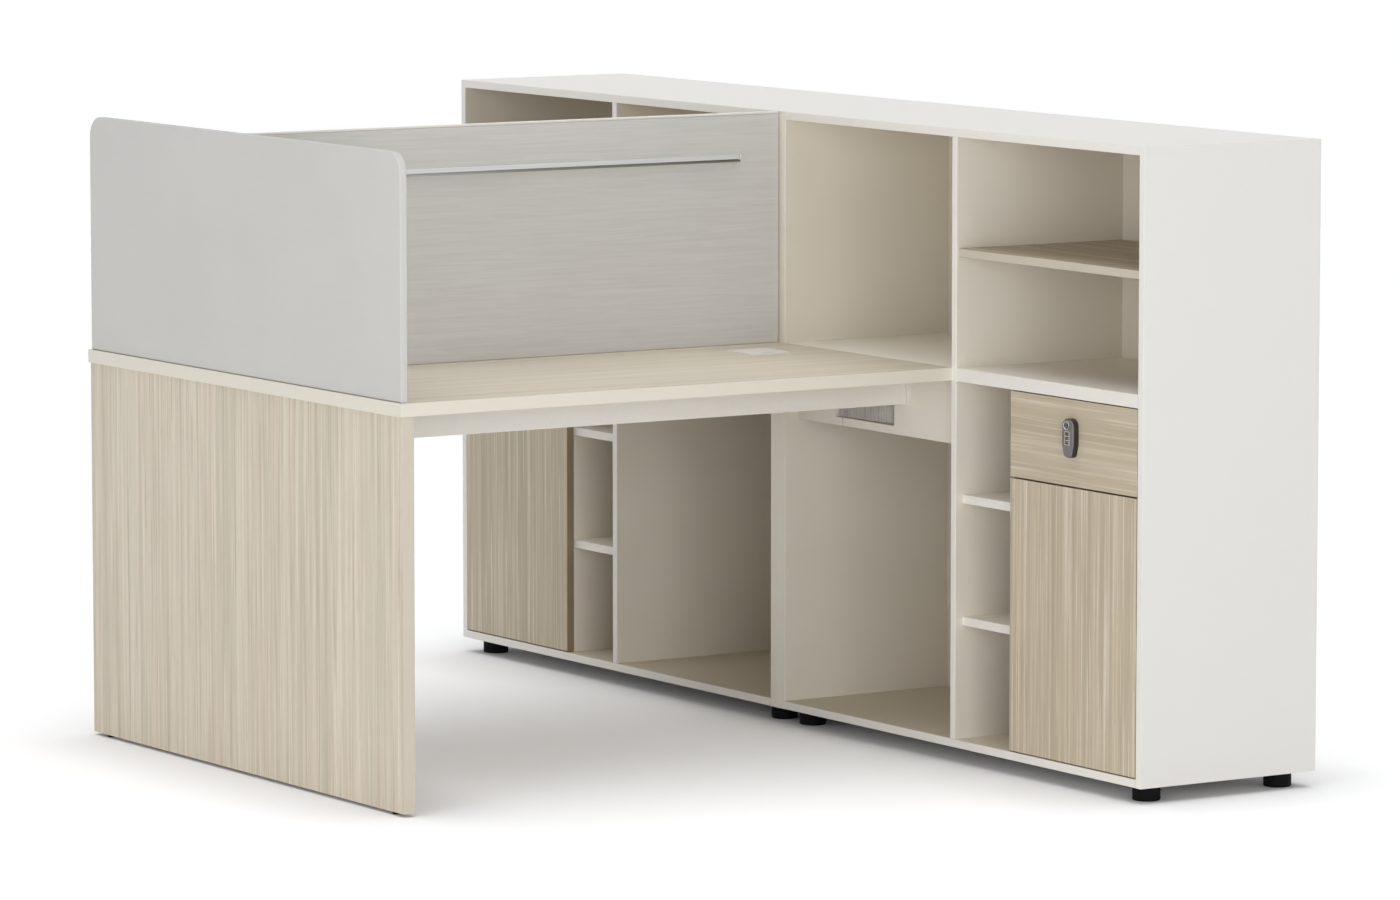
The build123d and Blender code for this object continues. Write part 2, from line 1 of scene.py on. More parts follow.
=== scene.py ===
# %% [markdown]
# An office workstation for two people: a long desk with a low screen along its middle, ending against
# a storage wall of two mirrored units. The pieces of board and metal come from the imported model, which
# is loaded first. This lesson gives them their finishes, and models the pieces whose look needs more
# than flat boards: screens, feet, rail plugs, locks, screws and brushes. All lengths are in metres.

# %% Load the frame
import math
import random
import bmesh
import bpy
from mathutils import Matrix, Vector


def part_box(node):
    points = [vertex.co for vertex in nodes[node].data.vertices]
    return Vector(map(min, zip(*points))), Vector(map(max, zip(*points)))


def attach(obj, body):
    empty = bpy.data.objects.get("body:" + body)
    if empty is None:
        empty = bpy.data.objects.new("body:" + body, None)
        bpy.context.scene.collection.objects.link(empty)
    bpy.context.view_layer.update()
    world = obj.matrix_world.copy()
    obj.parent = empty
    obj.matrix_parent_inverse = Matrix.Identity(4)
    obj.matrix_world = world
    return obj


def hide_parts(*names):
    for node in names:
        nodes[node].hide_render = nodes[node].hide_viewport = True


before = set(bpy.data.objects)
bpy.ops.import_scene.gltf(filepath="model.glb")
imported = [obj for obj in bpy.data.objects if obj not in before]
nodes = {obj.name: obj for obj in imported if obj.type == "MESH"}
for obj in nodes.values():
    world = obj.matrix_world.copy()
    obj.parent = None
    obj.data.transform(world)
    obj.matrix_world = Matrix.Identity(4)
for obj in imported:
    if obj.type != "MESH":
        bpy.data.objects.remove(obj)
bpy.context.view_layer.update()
MM = 0.001
sides = {"near": -1, "far": 1}

# %% [markdown]
# Colours are written as the hex values that a paint chart or an image editor shows. Cycles works in
# linear light, so one function converts them. A second function adds a node to a material, with its
# settings and its inputs, where an input is either a number or a link from another node's socket.


# %% Colour and node helpers
def paint(hex_code):
    """Linear RGBA of an sRGB hex colour."""
    channels = [int(hex_code[start:start + 2], 16) / 255 for start in (1, 3, 5)]
    linear = [c / 12.92 if c <= 0.04045 else ((c + 0.055) / 1.055) ** 2.4 for c in channels]
    return (*linear, 1.0)


def add_node(tree, kind, inputs=None, stops=None, **settings):
    """Adds a node with its settings, the stops of a colour ramp, and its inputs or links."""
    node = tree.nodes.new(kind)
    for name, value in settings.items():
        setattr(node, name, value)
    for index, (place, hex_code) in enumerate(stops or ()):
        elements = node.color_ramp.elements
        element = elements[index] if index < 2 else elements.new(place)
        element.position = place
        element.color = paint(hex_code)
    for name, value in (inputs or {}).items():
        if isinstance(value, bpy.types.NodeSocket):
            tree.links.new(value, node.inputs[name])
        else:
            node.inputs[name].default_value = value
    return node


def start_finish(name, **shader):
    """A new material with one Principled shader, and the coordinates of the object itself."""
    material = bpy.data.materials.new(name)
    material.use_nodes = True
    tree = material.node_tree
    principled = tree.nodes["Principled BSDF"]
    for socket, value in shader.items():
        principled.inputs[socket.replace("_", " ")].default_value = value
    coordinates = add_node(tree, "ShaderNodeTexCoord")
    return material, tree, principled, coordinates


def stretched_noise(tree, coordinates, size, offset=(0, 0, 0), detail=2.0, rough=0.5):
    """Noise whose grains measure size along X, Y and Z, in metres."""
    mapping = add_node(
        tree,
        "ShaderNodeMapping",
        {
            "Vector": coordinates.outputs["Object"],
            "Scale": [1 / length for length in size],
            "Location": offset,
        },
    )
    return add_node(
        tree,
        "ShaderNodeTexNoise",
        {"Vector": mapping.outputs[0], "Scale": 1.0, "Detail": detail, "Roughness": rough},
    )


print("mid grey of a paint chart, in linear light:", round(paint("#808080")[0], 3))

# %% [markdown]
# The camera stands where the photographer's stood. Its place, its aim and its lens come from fitting
# the corners of the known boxes to the photograph, whose frame is 1400 pixels wide. It looks slightly
# down, with no shift and no blur, so that every other view of the object works too.

# %% Camera
image_width_px = 1400
focal_px = 7147.26
sensor_mm = 36.0
camera_place = Vector((-7.22395, -11.57295, 2.09676))
camera_yaw = 0.99925
camera_pitch = -0.112032
aim = Vector((
    math.cos(camera_pitch) * math.cos(camera_yaw),
    math.cos(camera_pitch) * math.sin(camera_yaw),
    math.sin(camera_pitch),
))
lens = bpy.data.cameras.new("camera")
lens.sensor_fit = "HORIZONTAL"
lens.sensor_width = sensor_mm
lens.lens = focal_px / image_width_px * sensor_mm
lens.clip_end = 100.0
camera = bpy.data.objects.new("camera", lens)
camera.location = camera_place
camera.rotation_euler = aim.to_track_quat("-Z", "Y").to_euler()
bpy.context.scene.collection.objects.link(camera)
bpy.context.scene.camera = camera
bpy.context.scene.view_settings.view_transform = "Standard"
print("lens:", round(lens.lens, 1), "mm")

# %% [markdown]
# The studio is a pale floor that melts into a white surround. More lamps would wash out the object, so
# the floor adds a little light of its own instead, which only the camera and bright metal see. It reaches
# white where nothing shades it, and keeps the soft shadow under the desk. That light fades close to what
# stands on the floor, where contact shadows are darkest.


# %% Floor
def seen_or_mirrored(tree):
    """A socket that is 1 where a ray shows the surface to the camera, directly or in a mirror."""
    path = add_node(tree, "ShaderNodeLightPath")
    rays = {0: path.outputs["Is Camera Ray"], 1: path.outputs["Is Glossy Ray"]}
    return add_node(tree, "ShaderNodeMath", rays, operation="MAXIMUM").outputs[0]


floor_half = 30.0
floor_own_light = 0.29
contact_reach = 0.25
contact_falloff = 2.0
floor_mesh = bmesh.new()
bmesh.ops.create_grid(floor_mesh, x_segments=1, y_segments=1, size=floor_half)
floor_data = bpy.data.meshes.new("studio_floor")
floor_mesh.to_mesh(floor_data)
floor_mesh.free()
floor = bpy.data.objects.new("studio_floor", floor_data)
bpy.context.scene.collection.objects.link(floor)

floor_paint, tree, principled, coordinates = start_finish("matt_studio_floor", Roughness=0.9)
principled.inputs["Base Color"].default_value = paint("#EFEFEF")
principled.inputs["Specular IOR Level"].default_value = 0.0
principled.inputs["Emission Color"].default_value = paint("#FFFFFF")
things = add_node(tree, "ShaderNodeAmbientOcclusion", {"Distance": contact_reach}, samples=6)
clear = add_node(
    tree, "ShaderNodeMath", {0: things.outputs["AO"], 1: contact_falloff}, operation="POWER"
)
own_light = add_node(
    tree, "ShaderNodeMath", {0: clear.outputs[0], 1: floor_own_light}, operation="MULTIPLY"
)
lift = add_node(
    tree, "ShaderNodeMath", {0: seen_or_mirrored(tree), 1: own_light.outputs[0]}, operation="MULTIPLY"
)
tree.links.new(lift.outputs[0], principled.inputs["Emission Strength"])
floor.data.materials.append(floor_paint)
print("floor:", 2 * floor_half, "m wide")

# %% [markdown]
# The surround shows as plain white, and lights the object like a studio whose walls are bright and whose
# ceiling is dim, so it is brightest at the horizon. Walls would have edges that show in some view. The
# world has none, and does both jobs through one strength that depends on what sees it.

# %% Surround
horizon_strength = 1.08
dome_strength = 0.22
dome_from = 0.45
world = bpy.data.worlds.new("surround")
bpy.context.scene.world = world
world.use_nodes = True
sky = world.node_tree
surround = sky.nodes["Background"]
shown = seen_or_mirrored(sky)
direction = add_node(sky, "ShaderNodeTexCoord")
height = add_node(sky, "ShaderNodeSeparateXYZ", {"Vector": direction.outputs["Generated"]})
ambient = add_node(
    sky,
    "ShaderNodeMapRange",
    {
        "Value": height.outputs["Z"],
        "From Min": 0.0,
        "From Max": dome_from,
        "To Min": horizon_strength,
        "To Max": dome_strength,
    },
    clamp=True,
)
strength = add_node(
    sky, "ShaderNodeMapRange", {"Value": shown, "To Min": ambient.outputs[0], "To Max": 1.0}
)
sky.links.new(strength.outputs[0], surround.inputs["Strength"])
tint = add_node(
    sky,
    "ShaderNodeMix",
    {"Factor": shown, 6: paint("#F6F9FF"), 7: paint("#FFFFFF")},
    data_type="RGBA",
)
sky.links.new(tint.outputs[2], surround.inputs["Color"])
print("surround strength from horizon to dome:", horizon_strength, dome_strength)

# %% [markdown]
# A very soft lamp overhead lights the tops. Two lower ones, from the camera's right and left, light the
# faces that look that way, and their size keeps the shadows as soft as the photograph's.

# %% Lamps
overhead_strength = 1.78
overhead_spread = math.radians(70)


def softbox(name, place, target, size, power):
    """A large square lamp that shines from a place towards a target."""
    light = bpy.data.lights.new(name, "AREA")
    light.shape = "SQUARE"
    light.size = size
    light.energy = power
    lamp = bpy.data.objects.new(name, light)
    lamp.location = place
    lamp.rotation_euler = (Vector(target) - Vector(place)).to_track_quat("-Z", "Y").to_euler()
    lamp.visible_camera = False
    bpy.context.scene.collection.objects.link(lamp)


sky_light = bpy.data.lights.new("overhead", "SUN")
sky_light.energy = overhead_strength
sky_light.angle = overhead_spread
overhead = bpy.data.objects.new("overhead", sky_light)
bpy.context.scene.collection.objects.link(overhead)
softbox("camera_right", place=(-2.3, -7.2, 1.1), target=(0.4, -0.6, 0.6), size=3.0, power=122)
softbox("camera_left", place=(-5.0, -2.4, 1.3), target=(0.0, -0.2, 0.7), size=2.0, power=40)

# %% [markdown]
# The white boards are chipboard faced with melamine paper: smooth, a little warm, with the very fine
# pearl texture that the press plate leaves, which gives a soft sheen without a mirror image. Their front
# edges carry a plastic band, which is a touch lighter than the faces, partly as its own colour and partly
# as painted light. The insides are warmer and darker than the outsides as painted shade. The floors of
# the bays and the front of the rail are lighter as painted light. The floor over the plinth and the front
# edges of the centre panels are darker as painted shade. Giving each face a material of its own would mean
# sorting triangles, so the shader picks the tone of a face by the way that it looks.

# %% White melamine
front, back, up, down = (-1, 0, 0), (1, 0, 0), (0, 0, 1), (0, 0, -1)
# The band's lighter tone is partly its own colour and partly painted light; the bay floors' lighter tone is
# painted light
outer_face, edge_band_and_painted_light, painted_light_bay_floor = "#EAE7E1", "#F6F2EA", "#FAF5EA"
# The rail's lighter front is painted light; the centre panels' darker front edges and the darker floor over
# the plinth are painted shade
painted_light_rail_face, painted_shade_centre_edge, painted_shade_plinth_floor = "#F3ECE0", "#F5EFE2", "#DAD0BE"
# The inside tone, warmer and darker than the outside, is painted shade
painted_shade_inner_stops = [(0.3, "#E9E2D4"), (0.7, "#EDE6D9")]
mottle_size = 220 * MM
# The press plate's texture is finer than this, and is drawn at 2 mm so that it can show
pearl_size = 2 * MM
# Cosine of the widest angle between a face's normal and a direction that the face counts for
facing_limit = 0.6


def melamine(name, tones):
    """White board, warmer and darker as painted shade. The faces that look along the given directions have
    tones of their own, with painted light and shade among them.
    """
    material, tree, principled, coordinates = start_finish(name, Roughness=0.42)
    principled.inputs["Specular IOR Level"].default_value = 0.4
    mottle = stretched_noise(tree, coordinates, [mottle_size] * 3, detail=3.0)
    colour = add_node(tree, "ShaderNodeValToRGB", {"Fac": mottle.outputs["Fac"]}, stops=painted_shade_inner_stops)
    face = colour.outputs["Color"]
    for direction, tone in tones.items():
        facing = add_node(
            tree,
            "ShaderNodeVectorMath",
            {0: coordinates.outputs["Normal"], 1: direction},
            operation="DOT_PRODUCT",
        )
        chosen = add_node(
            tree, "ShaderNodeMath", {0: facing.outputs["Value"], 1: facing_limit}, operation="GREATER_THAN"
        )
        mixed = add_node(
            tree, "ShaderNodeMix", {"Factor": chosen.outputs[0], 6: face, 7: paint(tone)}, data_type="RGBA"
        )
        face = mixed.outputs[2]
    tree.links.new(face, principled.inputs["Base Color"])
    pearl = stretched_noise(tree, coordinates, [pearl_size] * 3, detail=1.0)
    bump = add_node(
        tree, "ShaderNodeBump", {"Height": pearl.outputs["Fac"], "Strength": 0.06, "Distance": 0.1 * MM}
    )
    tree.links.new(bump.outputs[0], principled.inputs["Normal"])
    return material


def dress(material, *names):
    """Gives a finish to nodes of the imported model."""
    for name in names:
        mesh = nodes[name].data
        mesh.materials.clear()
        mesh.materials.append(material)


outside = {up: outer_face, down: outer_face, back: outer_face}
slot_walls = {(0, 1, 0): outer_face, (0, -1, 0): outer_face}
bottom_tones = {front: edge_band_and_painted_light, up: painted_shade_plinth_floor, down: outer_face, back: outer_face}
banded_white = melamine("melamine_board_banded", {front: edge_band_and_painted_light})
top_white = melamine("melamine_board_top", {front: edge_band_and_painted_light, up: outer_face, back: outer_face})
floor_white = melamine("melamine_board_level", {front: edge_band_and_painted_light, up: painted_light_bay_floor})
bottom_white = melamine("melamine_board_bottom", bottom_tones)
centre_white = melamine("melamine_board_centre", {front: painted_shade_centre_edge, **outside})
back_white = melamine("melamine_board_back", {back: outer_face})
rail_white = melamine("melamine_board_rail", {front: painted_light_rail_face, **outside, **slot_walls})
for side, sign in sides.items():
    end_tones = {front: edge_band_and_painted_light, (0, sign, 0): outer_face, **outside}
    dress(melamine(f"melamine_board_{side}_end", end_tones), f"{side}_end_panel")
    dress(top_white, f"{side}_top_panel")
    dress(floor_white, f"{side}_mid_bay_panel", f"{side}_mid_outer_panel")
    dress(bottom_white, f"{side}_bottom_panel")
    dress(banded_white, f"{side}_bay_partition", f"{side}_cupboard_partition")
    dress(centre_white, f"{side}_centre_panel")
    dress(back_white, f"{side}_back_panel")
    dress(rail_white, f"{side}_front_rail")
dress(banded_white, "column_shelves")
print("white finishes:", sum(material.name.startswith("melamine") for material in bpy.data.materials))

# %% [markdown]
# The wooden boards are faced with a printed ash décor: straight parallel streaks that run with the
# grain, some lighter and some darker than the ground, each a few millimetres wide and a hand to a metre
# long. One broad noise, stretched along the grain, gives the ground its tone, and six finer ones lay the
# streaks and the pores over it. An image would have to be laid out on every board, while noise in space
# needs no layout. The press plate is grained too, so the streaks stand in a faint relief.

# %% Ash décor
grain_axes = {"X": 0, "Y": 1, "Z": 2}
desk_ground = ("#D0C9B7", "#D7CDBC", "#DAD3C2")
leg_ground = ("#CFC6B2", "#D7CAB7", "#DAD0BD")
front_ground = ("#C2B59C", "#CABCA3", "#CFC1A9")
# The shelves' darker ground is painted shade
painted_shade_shelf_ground = ("#A79981", "#AE9F87", "#B3A48D")
# The dark band of the door and drawer fronts is painted shade
pale_band, desk_band, painted_shade_front_band = "#D3C9B9", "#E5DFD0", "#95846B"
light_streak, dark_streak = "#EADFCD", "#B5A791"
ground_places = (0.36, 0.50, 0.64)
# Width and run of a noise, its seed and its detail
broad_grain = (45 * MM, 2.4, 3.1, 3.0)
relief_grain = (2.5 * MM, 0.12, 41.0, 2.0)
# The same four, the noise where a streak starts and is full, its tone, and its share where full
streak_layers = (
    (10 * MM, 1.1, 11.0, 2.0, 0.50, 0.66, light_streak, 0.55),
    (8 * MM, 0.7, 17.0, 2.0, 0.52, 0.68, dark_streak, 0.45),
    (5 * MM, 0.30, 23.0, 1.0, 0.60, 0.68, dark_streak, 0.50),
    (5 * MM, 0.40, 29.0, 1.0, 0.60, 0.68, light_streak, 0.75),
    (1.8 * MM, 0.06, 37.0, 1.0, 0.62, 0.74, dark_streak, 0.35),
    (0.9 * MM, 0.03, 43.0, 1.0, 0.62, 0.70, dark_streak, 0.35),
)
# How far a shift moves the pattern along X, Y and Z
shift_steps = (1.0, 1.7, 2.3)
# A face whose normal has less than this along the faces' axis is an edge
edge_limit = 0.5


def ash(name, along, faces, shift, ground, band=pale_band, contrast=0.9):
    """Ash décor with its grain along one axis, on the faces that look along another.

    The edges carry a plain band, which on the door and drawer fronts is dark as painted shade. The shift
    moves the pattern from board to board.
    """
    material, tree, principled, coordinates = start_finish(name, Roughness=0.5)
    principled.inputs["Specular IOR Level"].default_value = 0.35

    def grain(width, run, seed, detail):
        size = [width, width, width]
        size[grain_axes[along]] = run
        offset = [step * shift + seed for step in shift_steps]
        return stretched_noise(tree, coordinates, size, offset, detail).outputs["Fac"]

    broad = add_node(
        tree,
        "ShaderNodeValToRGB",
        {"Fac": grain(*broad_grain)},
        stops=list(zip(ground_places, ground)),
    )
    colour = broad.outputs["Color"]
    for width, run, seed, detail, start, full, tone, most in streak_layers:
        noise = grain(width, run, seed, detail)
        share = add_node(
            tree,
            "ShaderNodeMapRange",
            {"Value": noise, "From Min": start, "From Max": full, "To Min": 0.0, "To Max": most * contrast},
            clamp=True,
        )
        mixed = add_node(
            tree, "ShaderNodeMix", {"Factor": share.outputs[0], 6: colour, 7: paint(tone)}, data_type="RGBA"
        )
        colour = mixed.outputs[2]
    normal = add_node(tree, "ShaderNodeSeparateXYZ", {"Vector": coordinates.outputs["Normal"]})
    slope = add_node(tree, "ShaderNodeMath", {0: normal.outputs[faces]}, operation="ABSOLUTE")
    edge = add_node(tree, "ShaderNodeMath", {0: slope.outputs[0], 1: edge_limit}, operation="LESS_THAN")
    banded = add_node(
        tree, "ShaderNodeMix", {"Factor": edge.outputs[0], 6: colour, 7: paint(band)}, data_type="RGBA"
    )
    tree.links.new(banded.outputs[2], principled.inputs["Base Color"])
    relief = add_node(
        tree,
        "ShaderNodeBump",
        {"Height": grain(*relief_grain), "Strength": 0.15, "Distance": 0.2 * MM},
    )
    tree.links.new(relief.outputs[0], principled.inputs["Normal"])
    return material


dress(ash("ash_decor_leg_panel", "Z", "X", 1.0, leg_ground), "leg_panel")
dress(ash("ash_decor_desktop", "X", "Z", 2.0, desk_ground, desk_band, 0.5), "desktop")
for number, side in enumerate(sides):
    door_ash = ash(f"ash_decor_{side}_door", "Z", "X", 3.0 + number, front_ground, painted_shade_front_band, 1.1)
    dress(door_ash, f"{side}_door")
    drawer_ash = ash(f"ash_decor_{side}_drawer", "Y", "X", 5.0 + number, front_ground, painted_shade_front_band, 0.65)
    dress(drawer_ash, f"{side}_drawer_front")
dress(ash("ash_decor_shelves", "Y", "Z", 7.0, painted_shade_shelf_ground), "wood_shelves")
grained = [material.name for material in bpy.data.materials if material.name.startswith("ash")]
print("grained boards:", grained)

# %% [markdown]
# The metal and plastic pieces of the frame keep their shapes. What tells them apart is how each surface
# was made: powder coating leaves a fine orange peel and a soft sheen, anodised aluminium keeps the lines
# of its extrusion, zinc and nickel plate are bright and a little cloudy, and moulded plastic is even. All
# are two close tones under a fine relief, so one function makes them.

# %% Metal and plastic finishes
# Grains of the relief in the width of a cloud of the tones, and in the length of a drawn line
cloud_grains = 6
line_grains = 200


def coated(name, light, dark, grain, relief, roughness, metallic=0.0, along=None, specular=0.5):
    """A finish of two close tones, with a fine relief. Drawn lines run along an axis, where given."""
    material, tree, principled, coordinates = start_finish(name, Roughness=roughness, Metallic=metallic)
    principled.inputs["Specular IOR Level"].default_value = specular
    size = [grain] * 3
    if along:
        size[grain_axes[along]] = grain * line_grains
    cloud = stretched_noise(tree, coordinates, [length * cloud_grains for length in size], detail=2.0)
    tones = add_node(
        tree, "ShaderNodeValToRGB", {"Fac": cloud.outputs["Fac"]}, stops=[(0.35, dark), (0.65, light)]
    )
    tree.links.new(tones.outputs["Color"], principled.inputs["Base Color"])
    peel = stretched_noise(tree, coordinates, size, detail=1.0)
    bump = add_node(
        tree, "ShaderNodeBump", {"Height": peel.outputs["Fac"], "Strength": 0.3, "Distance": relief}
    )
    tree.links.new(bump.outputs[0], principled.inputs["Normal"])
    return material


# Powder coat on the beams and the drawer tub: fused powder, 1 mm orange peel, satin
powder_coat = coated(
    "powder_coated_steel", "#EAE6DE", "#E8E4DC", grain=1.0 * MM, relief=0.015 * MM, roughness=0.42
)
# Anodised aluminium on the rails: silver, with fine lines left by the die
anodised = coated(
    "anodised_aluminium", "#B6B6B4", "#ACACAA",
    grain=0.4 * MM, relief=0.01 * MM, roughness=0.30, metallic=1.0, along="X",
)
# Nickel plate on hinges, pins and cams: bright, slightly cloudy
nickel = coated(
    "nickel_plated_steel", "#CFCBC4", "#BBB7AF",
    grain=3.0 * MM, relief=0.02 * MM, roughness=0.28, metallic=1.0,
)
# Zinc plate on the drawer runners: duller and bluer than nickel
zinc = coated(
    "zinc_plated_runner", "#C3C7CB", "#AEB2B7",
    grain=4.0 * MM, relief=0.02 * MM, roughness=0.38, metallic=1.0,
)
# Moulded ABS of the cable flaps: fine spark-eroded grain that breaks up the shine
flap_plastic = coated(
    "moulded_abs_flap", "#EFECE6", "#EAE7E0", grain=0.8 * MM, relief=0.04 * MM, roughness=0.40
)
# Moulded polyamide of feet and glides: black, and grained so that it hardly shines
foot_plastic = coated(
    "moulded_polyamide_black", "#161414", "#100F0F",
    grain=0.9 * MM, relief=0.05 * MM, roughness=0.7, specular=0.1,
)
# Moulded grey ABS of the brush channels and the strip under the end screen: even and half matt. Under the
# screen its grey is partly painted shade, for the shadow line at the foot
grey_plastic = coated(
    "moulded_abs_grey", "#8F8D8E", "#868485", grain=0.8 * MM, relief=0.03 * MM, roughness=0.5
)

dress(powder_coat, "desk_beams", *(f"{side}_drawer_box" for side in sides))
dress(anodised, "accessory_rails")
plated = ("hinge_arms", "shelf_pins", "lock_strikes")
dress(nickel, *plated, *(f"{side}_{piece}" for side in sides for piece in ("hinge_cups", "lock_cam")))
dress(zinc, "drawer_runners")
dress(flap_plastic, *(f"{side}_{piece}" for side in sides for piece in ("flap_frame", "flap")))
dress(foot_plastic, "cabinet_feet", "leg_glides")
print("finishes so far:", len(bpy.data.materials))

# %% [markdown]
# New pieces are made as small meshes. One function turns a mesh into a piece: it marks sharp edges so
# that rounded faces shade smoothly, gives it a finish, and lets it ride on a body of the model. Another
# pours a part into a larger mesh at a place.

# %% Pieces
sharp_angle = math.radians(35)
# Two points this close count as one
tolerance = 0.001 * MM


def make_piece(name, mesh, body, finishes, replaces=()):
    """Makes an object of a mesh. It rides on a body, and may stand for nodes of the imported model."""
    bmesh.ops.recalc_face_normals(mesh, faces=mesh.faces[:])
    for face in mesh.faces:
        face.smooth = True
    for edge in mesh.edges:
        edge.smooth = len(edge.link_faces) == 2 and edge.calc_face_angle() < sharp_angle
    data = bpy.data.meshes.new(name)
    mesh.to_mesh(data)
    mesh.free()
    for finish in finishes:
        data.materials.append(finish)
    piece = bpy.data.objects.new(name, data)
    bpy.context.scene.collection.objects.link(piece)
    weighted = piece.modifiers.new("large_faces_flat", "WEIGHTED_NORMAL")
    weighted.keep_sharp = True
    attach(piece, body)
    if replaces:
        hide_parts(*replaces)
    print(name, "faces:", len(data.polygons))


def pour(target, part, matrix, material_index=None):
    """Adds a part to a mesh, moved by a matrix, and frees the part."""
    if material_index is not None:
        for face in part.faces:
            face.material_index = material_index
    bmesh.ops.transform(part, matrix=matrix, verts=part.verts[:])
    data = bpy.data.meshes.new("poured")
    part.to_mesh(data)
    part.free()
    target.from_mesh(data)
    bpy.data.meshes.remove(data)


at_origin = Matrix.Identity(4)
facing_out = Matrix.Rotation(math.radians(-90), 4, "Y")
facing_back = Matrix.Rotation(math.radians(90), 4, "Y")
print("sharp edges from", round(math.degrees(sharp_angle)), "degrees")

# %% [markdown]
# Four basic forms serve all of the pieces. An outline is turned about an axis, as a lathe does. A box
# stands between two corners, with its edges rounded if it is a moulding. Faces are drawn out, with walls
# that join them to where they were. A plane divides the faces that it passes through.


# %% Basic forms
def turned(outline, steps=32, closed=False):
    """A solid turned about Z from an outline of (radius, height) points.

    The outline starts and ends on the axis, or is closed, for a ring.
    """
    part = bmesh.new()
    points = [part.verts.new((radius, 0, height)) for radius, height in outline]
    ends = points[1:] + points[:1] if closed else points[1:]
    edges = [part.edges.new(pair) for pair in zip(points, ends)]
    bmesh.ops.spin(
        part,
        geom=points + edges,
        cent=(0, 0, 0),
        axis=(0, 0, 1),
        angle=2 * math.pi,
        steps=steps,
        use_merge=True,
    )
    bmesh.ops.remove_doubles(part, verts=part.verts[:], dist=tolerance)
    bmesh.ops.recalc_face_normals(part, faces=part.faces[:])
    return part


def round_edges(part, edges, offset, segments):
    """Rounds some edges of a mesh."""
    bmesh.ops.bevel(
        part,
        geom=edges,
        offset=offset,
        segments=segments,
        profile=0.5,
        affect="EDGES",
        material=-1,
        clamp_overlap=True,
    )


def sharp_box(low, high):
    """A box between two corners."""
    part = bmesh.new()
    bmesh.ops.create_cube(part, size=1.0)
    low, high = Vector(low), Vector(high)
    bmesh.ops.scale(part, vec=high - low, verts=part.verts[:])
    bmesh.ops.translate(part, vec=(low + high) / 2, verts=part.verts[:])
    return part


def rounded_box(low, high, offset, segments=2):
    """A box between two corners, with all of its edges rounded."""
    part = sharp_box(low, high)
    round_edges(part, part.edges[:], offset, segments)
    return part


def draw_out(part, faces, reach):
    """Extrudes faces by a vector and keeps the first ones. Returns the new corners and faces."""
    grown = bmesh.ops.extrude_face_region(part, geom=faces, use_keep_orig=True)["geom"]
    corners = [item for item in grown if isinstance(item, bmesh.types.BMVert)]
    bmesh.ops.translate(part, vec=reach, verts=corners)
    return corners, [item for item in grown if isinstance(item, bmesh.types.BMFace)]


def cut_through(part, place, normal):
    """Divides every face that a plane passes through."""
    everything = part.verts[:] + part.edges[:] + part.faces[:]
    bmesh.ops.bisect_plane(part, geom=everything, dist=tolerance, plane_co=place, plane_no=normal)


sample = rounded_box((0, 0, 0), (1, 1, 1), 0.1)
print("faces of a rounded box:", len(sample.faces))
sample.free()

# %% [markdown]
# The feet are black mouldings. The frame has them as plain cylinders, and here an outline is turned on
# the axis, so that the bottom rim is rounded as a mould leaves it and a shallow neck meets the board.
# The outline is written as insets from the radius, so it suits the wide feet and the slim glides alike.

# %% Feet and glides
foot_radius = 26 * MM
inner_foot_y = 50 * MM
foot_steps = 48
# Inset from the radius and height above the floor, and then inset and drop from the top
foot_rim = ((3.5 * MM, 0), (1.4 * MM, 0.6 * MM), (0.2 * MM, 2.0 * MM), (0, 3.6 * MM))
foot_neck = ((0, 1.6 * MM), (0.6 * MM, 0.8 * MM), (1.0 * MM, 0))
glide_rim = ((2.6 * MM, 0), (1.2 * MM, 0.5 * MM), (0.4 * MM, 1.8 * MM), (0, 4.0 * MM))
glide_neck = ((0, 0),)


def foot_outline(radius, height, rim, neck):
    """The outline of a foot, from the middle of its sole to the middle of its top."""
    lower = [(radius - inset, rise) for inset, rise in rim]
    upper = [(radius - inset, height - drop) for inset, drop in neck]
    return [(0, 0), *lower, *upper, (0, height)]


feet_low, feet_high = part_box("cabinet_feet")
feet = bmesh.new()
for x in (feet_low.x + foot_radius, feet_high.x - foot_radius):
    for y in (feet_low.y + foot_radius, -inner_foot_y, inner_foot_y, feet_high.y - foot_radius):
        foot = turned(foot_outline(foot_radius, feet_high.z, foot_rim, foot_neck), foot_steps)
        pour(feet, foot, Matrix.Translation((x, y, 0)))
make_piece("storage_feet", feet, "root", [foot_plastic], ["cabinet_feet"])

glides_low, glides_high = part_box("leg_glides")
glide_radius = (glides_high.x - glides_low.x) / 2
glides = bmesh.new()
for y in (glides_low.y + glide_radius, glides_high.y - glide_radius):
    glide = turned(foot_outline(glide_radius, glides_high.z, glide_rim, glide_neck))
    pour(glides, glide, Matrix.Translation((glides_low.x + glide_radius, y, 0)))
make_piece("leg_panel_glides", glides, "root", [foot_plastic], ["leg_glides"])

# %% [markdown]
# Both screens are boards wrapped in cloth. The weave is two waves at right angles, one for the warp and
# one for the weft, and longer slubs of thicker yarn lie along the weft as faint light and dark strokes.
# Both boards are flat, so the waves can simply run through space and need no map of the cloth. The end
# screen has a finer, more even cloth than the centre screen, whose slubs show.

# %% Screen cloth
fine_thread = 0.9 * MM
slub_thread = 1.4 * MM
slub_size = {"across": 150 * MM, "up": 5 * MM, "through": 12 * MM}
cloud_size = 300 * MM
# A wave texture of scale 1 repeats every 2 pi / 20 units
waves_per_unit = 20 / (2 * math.pi)


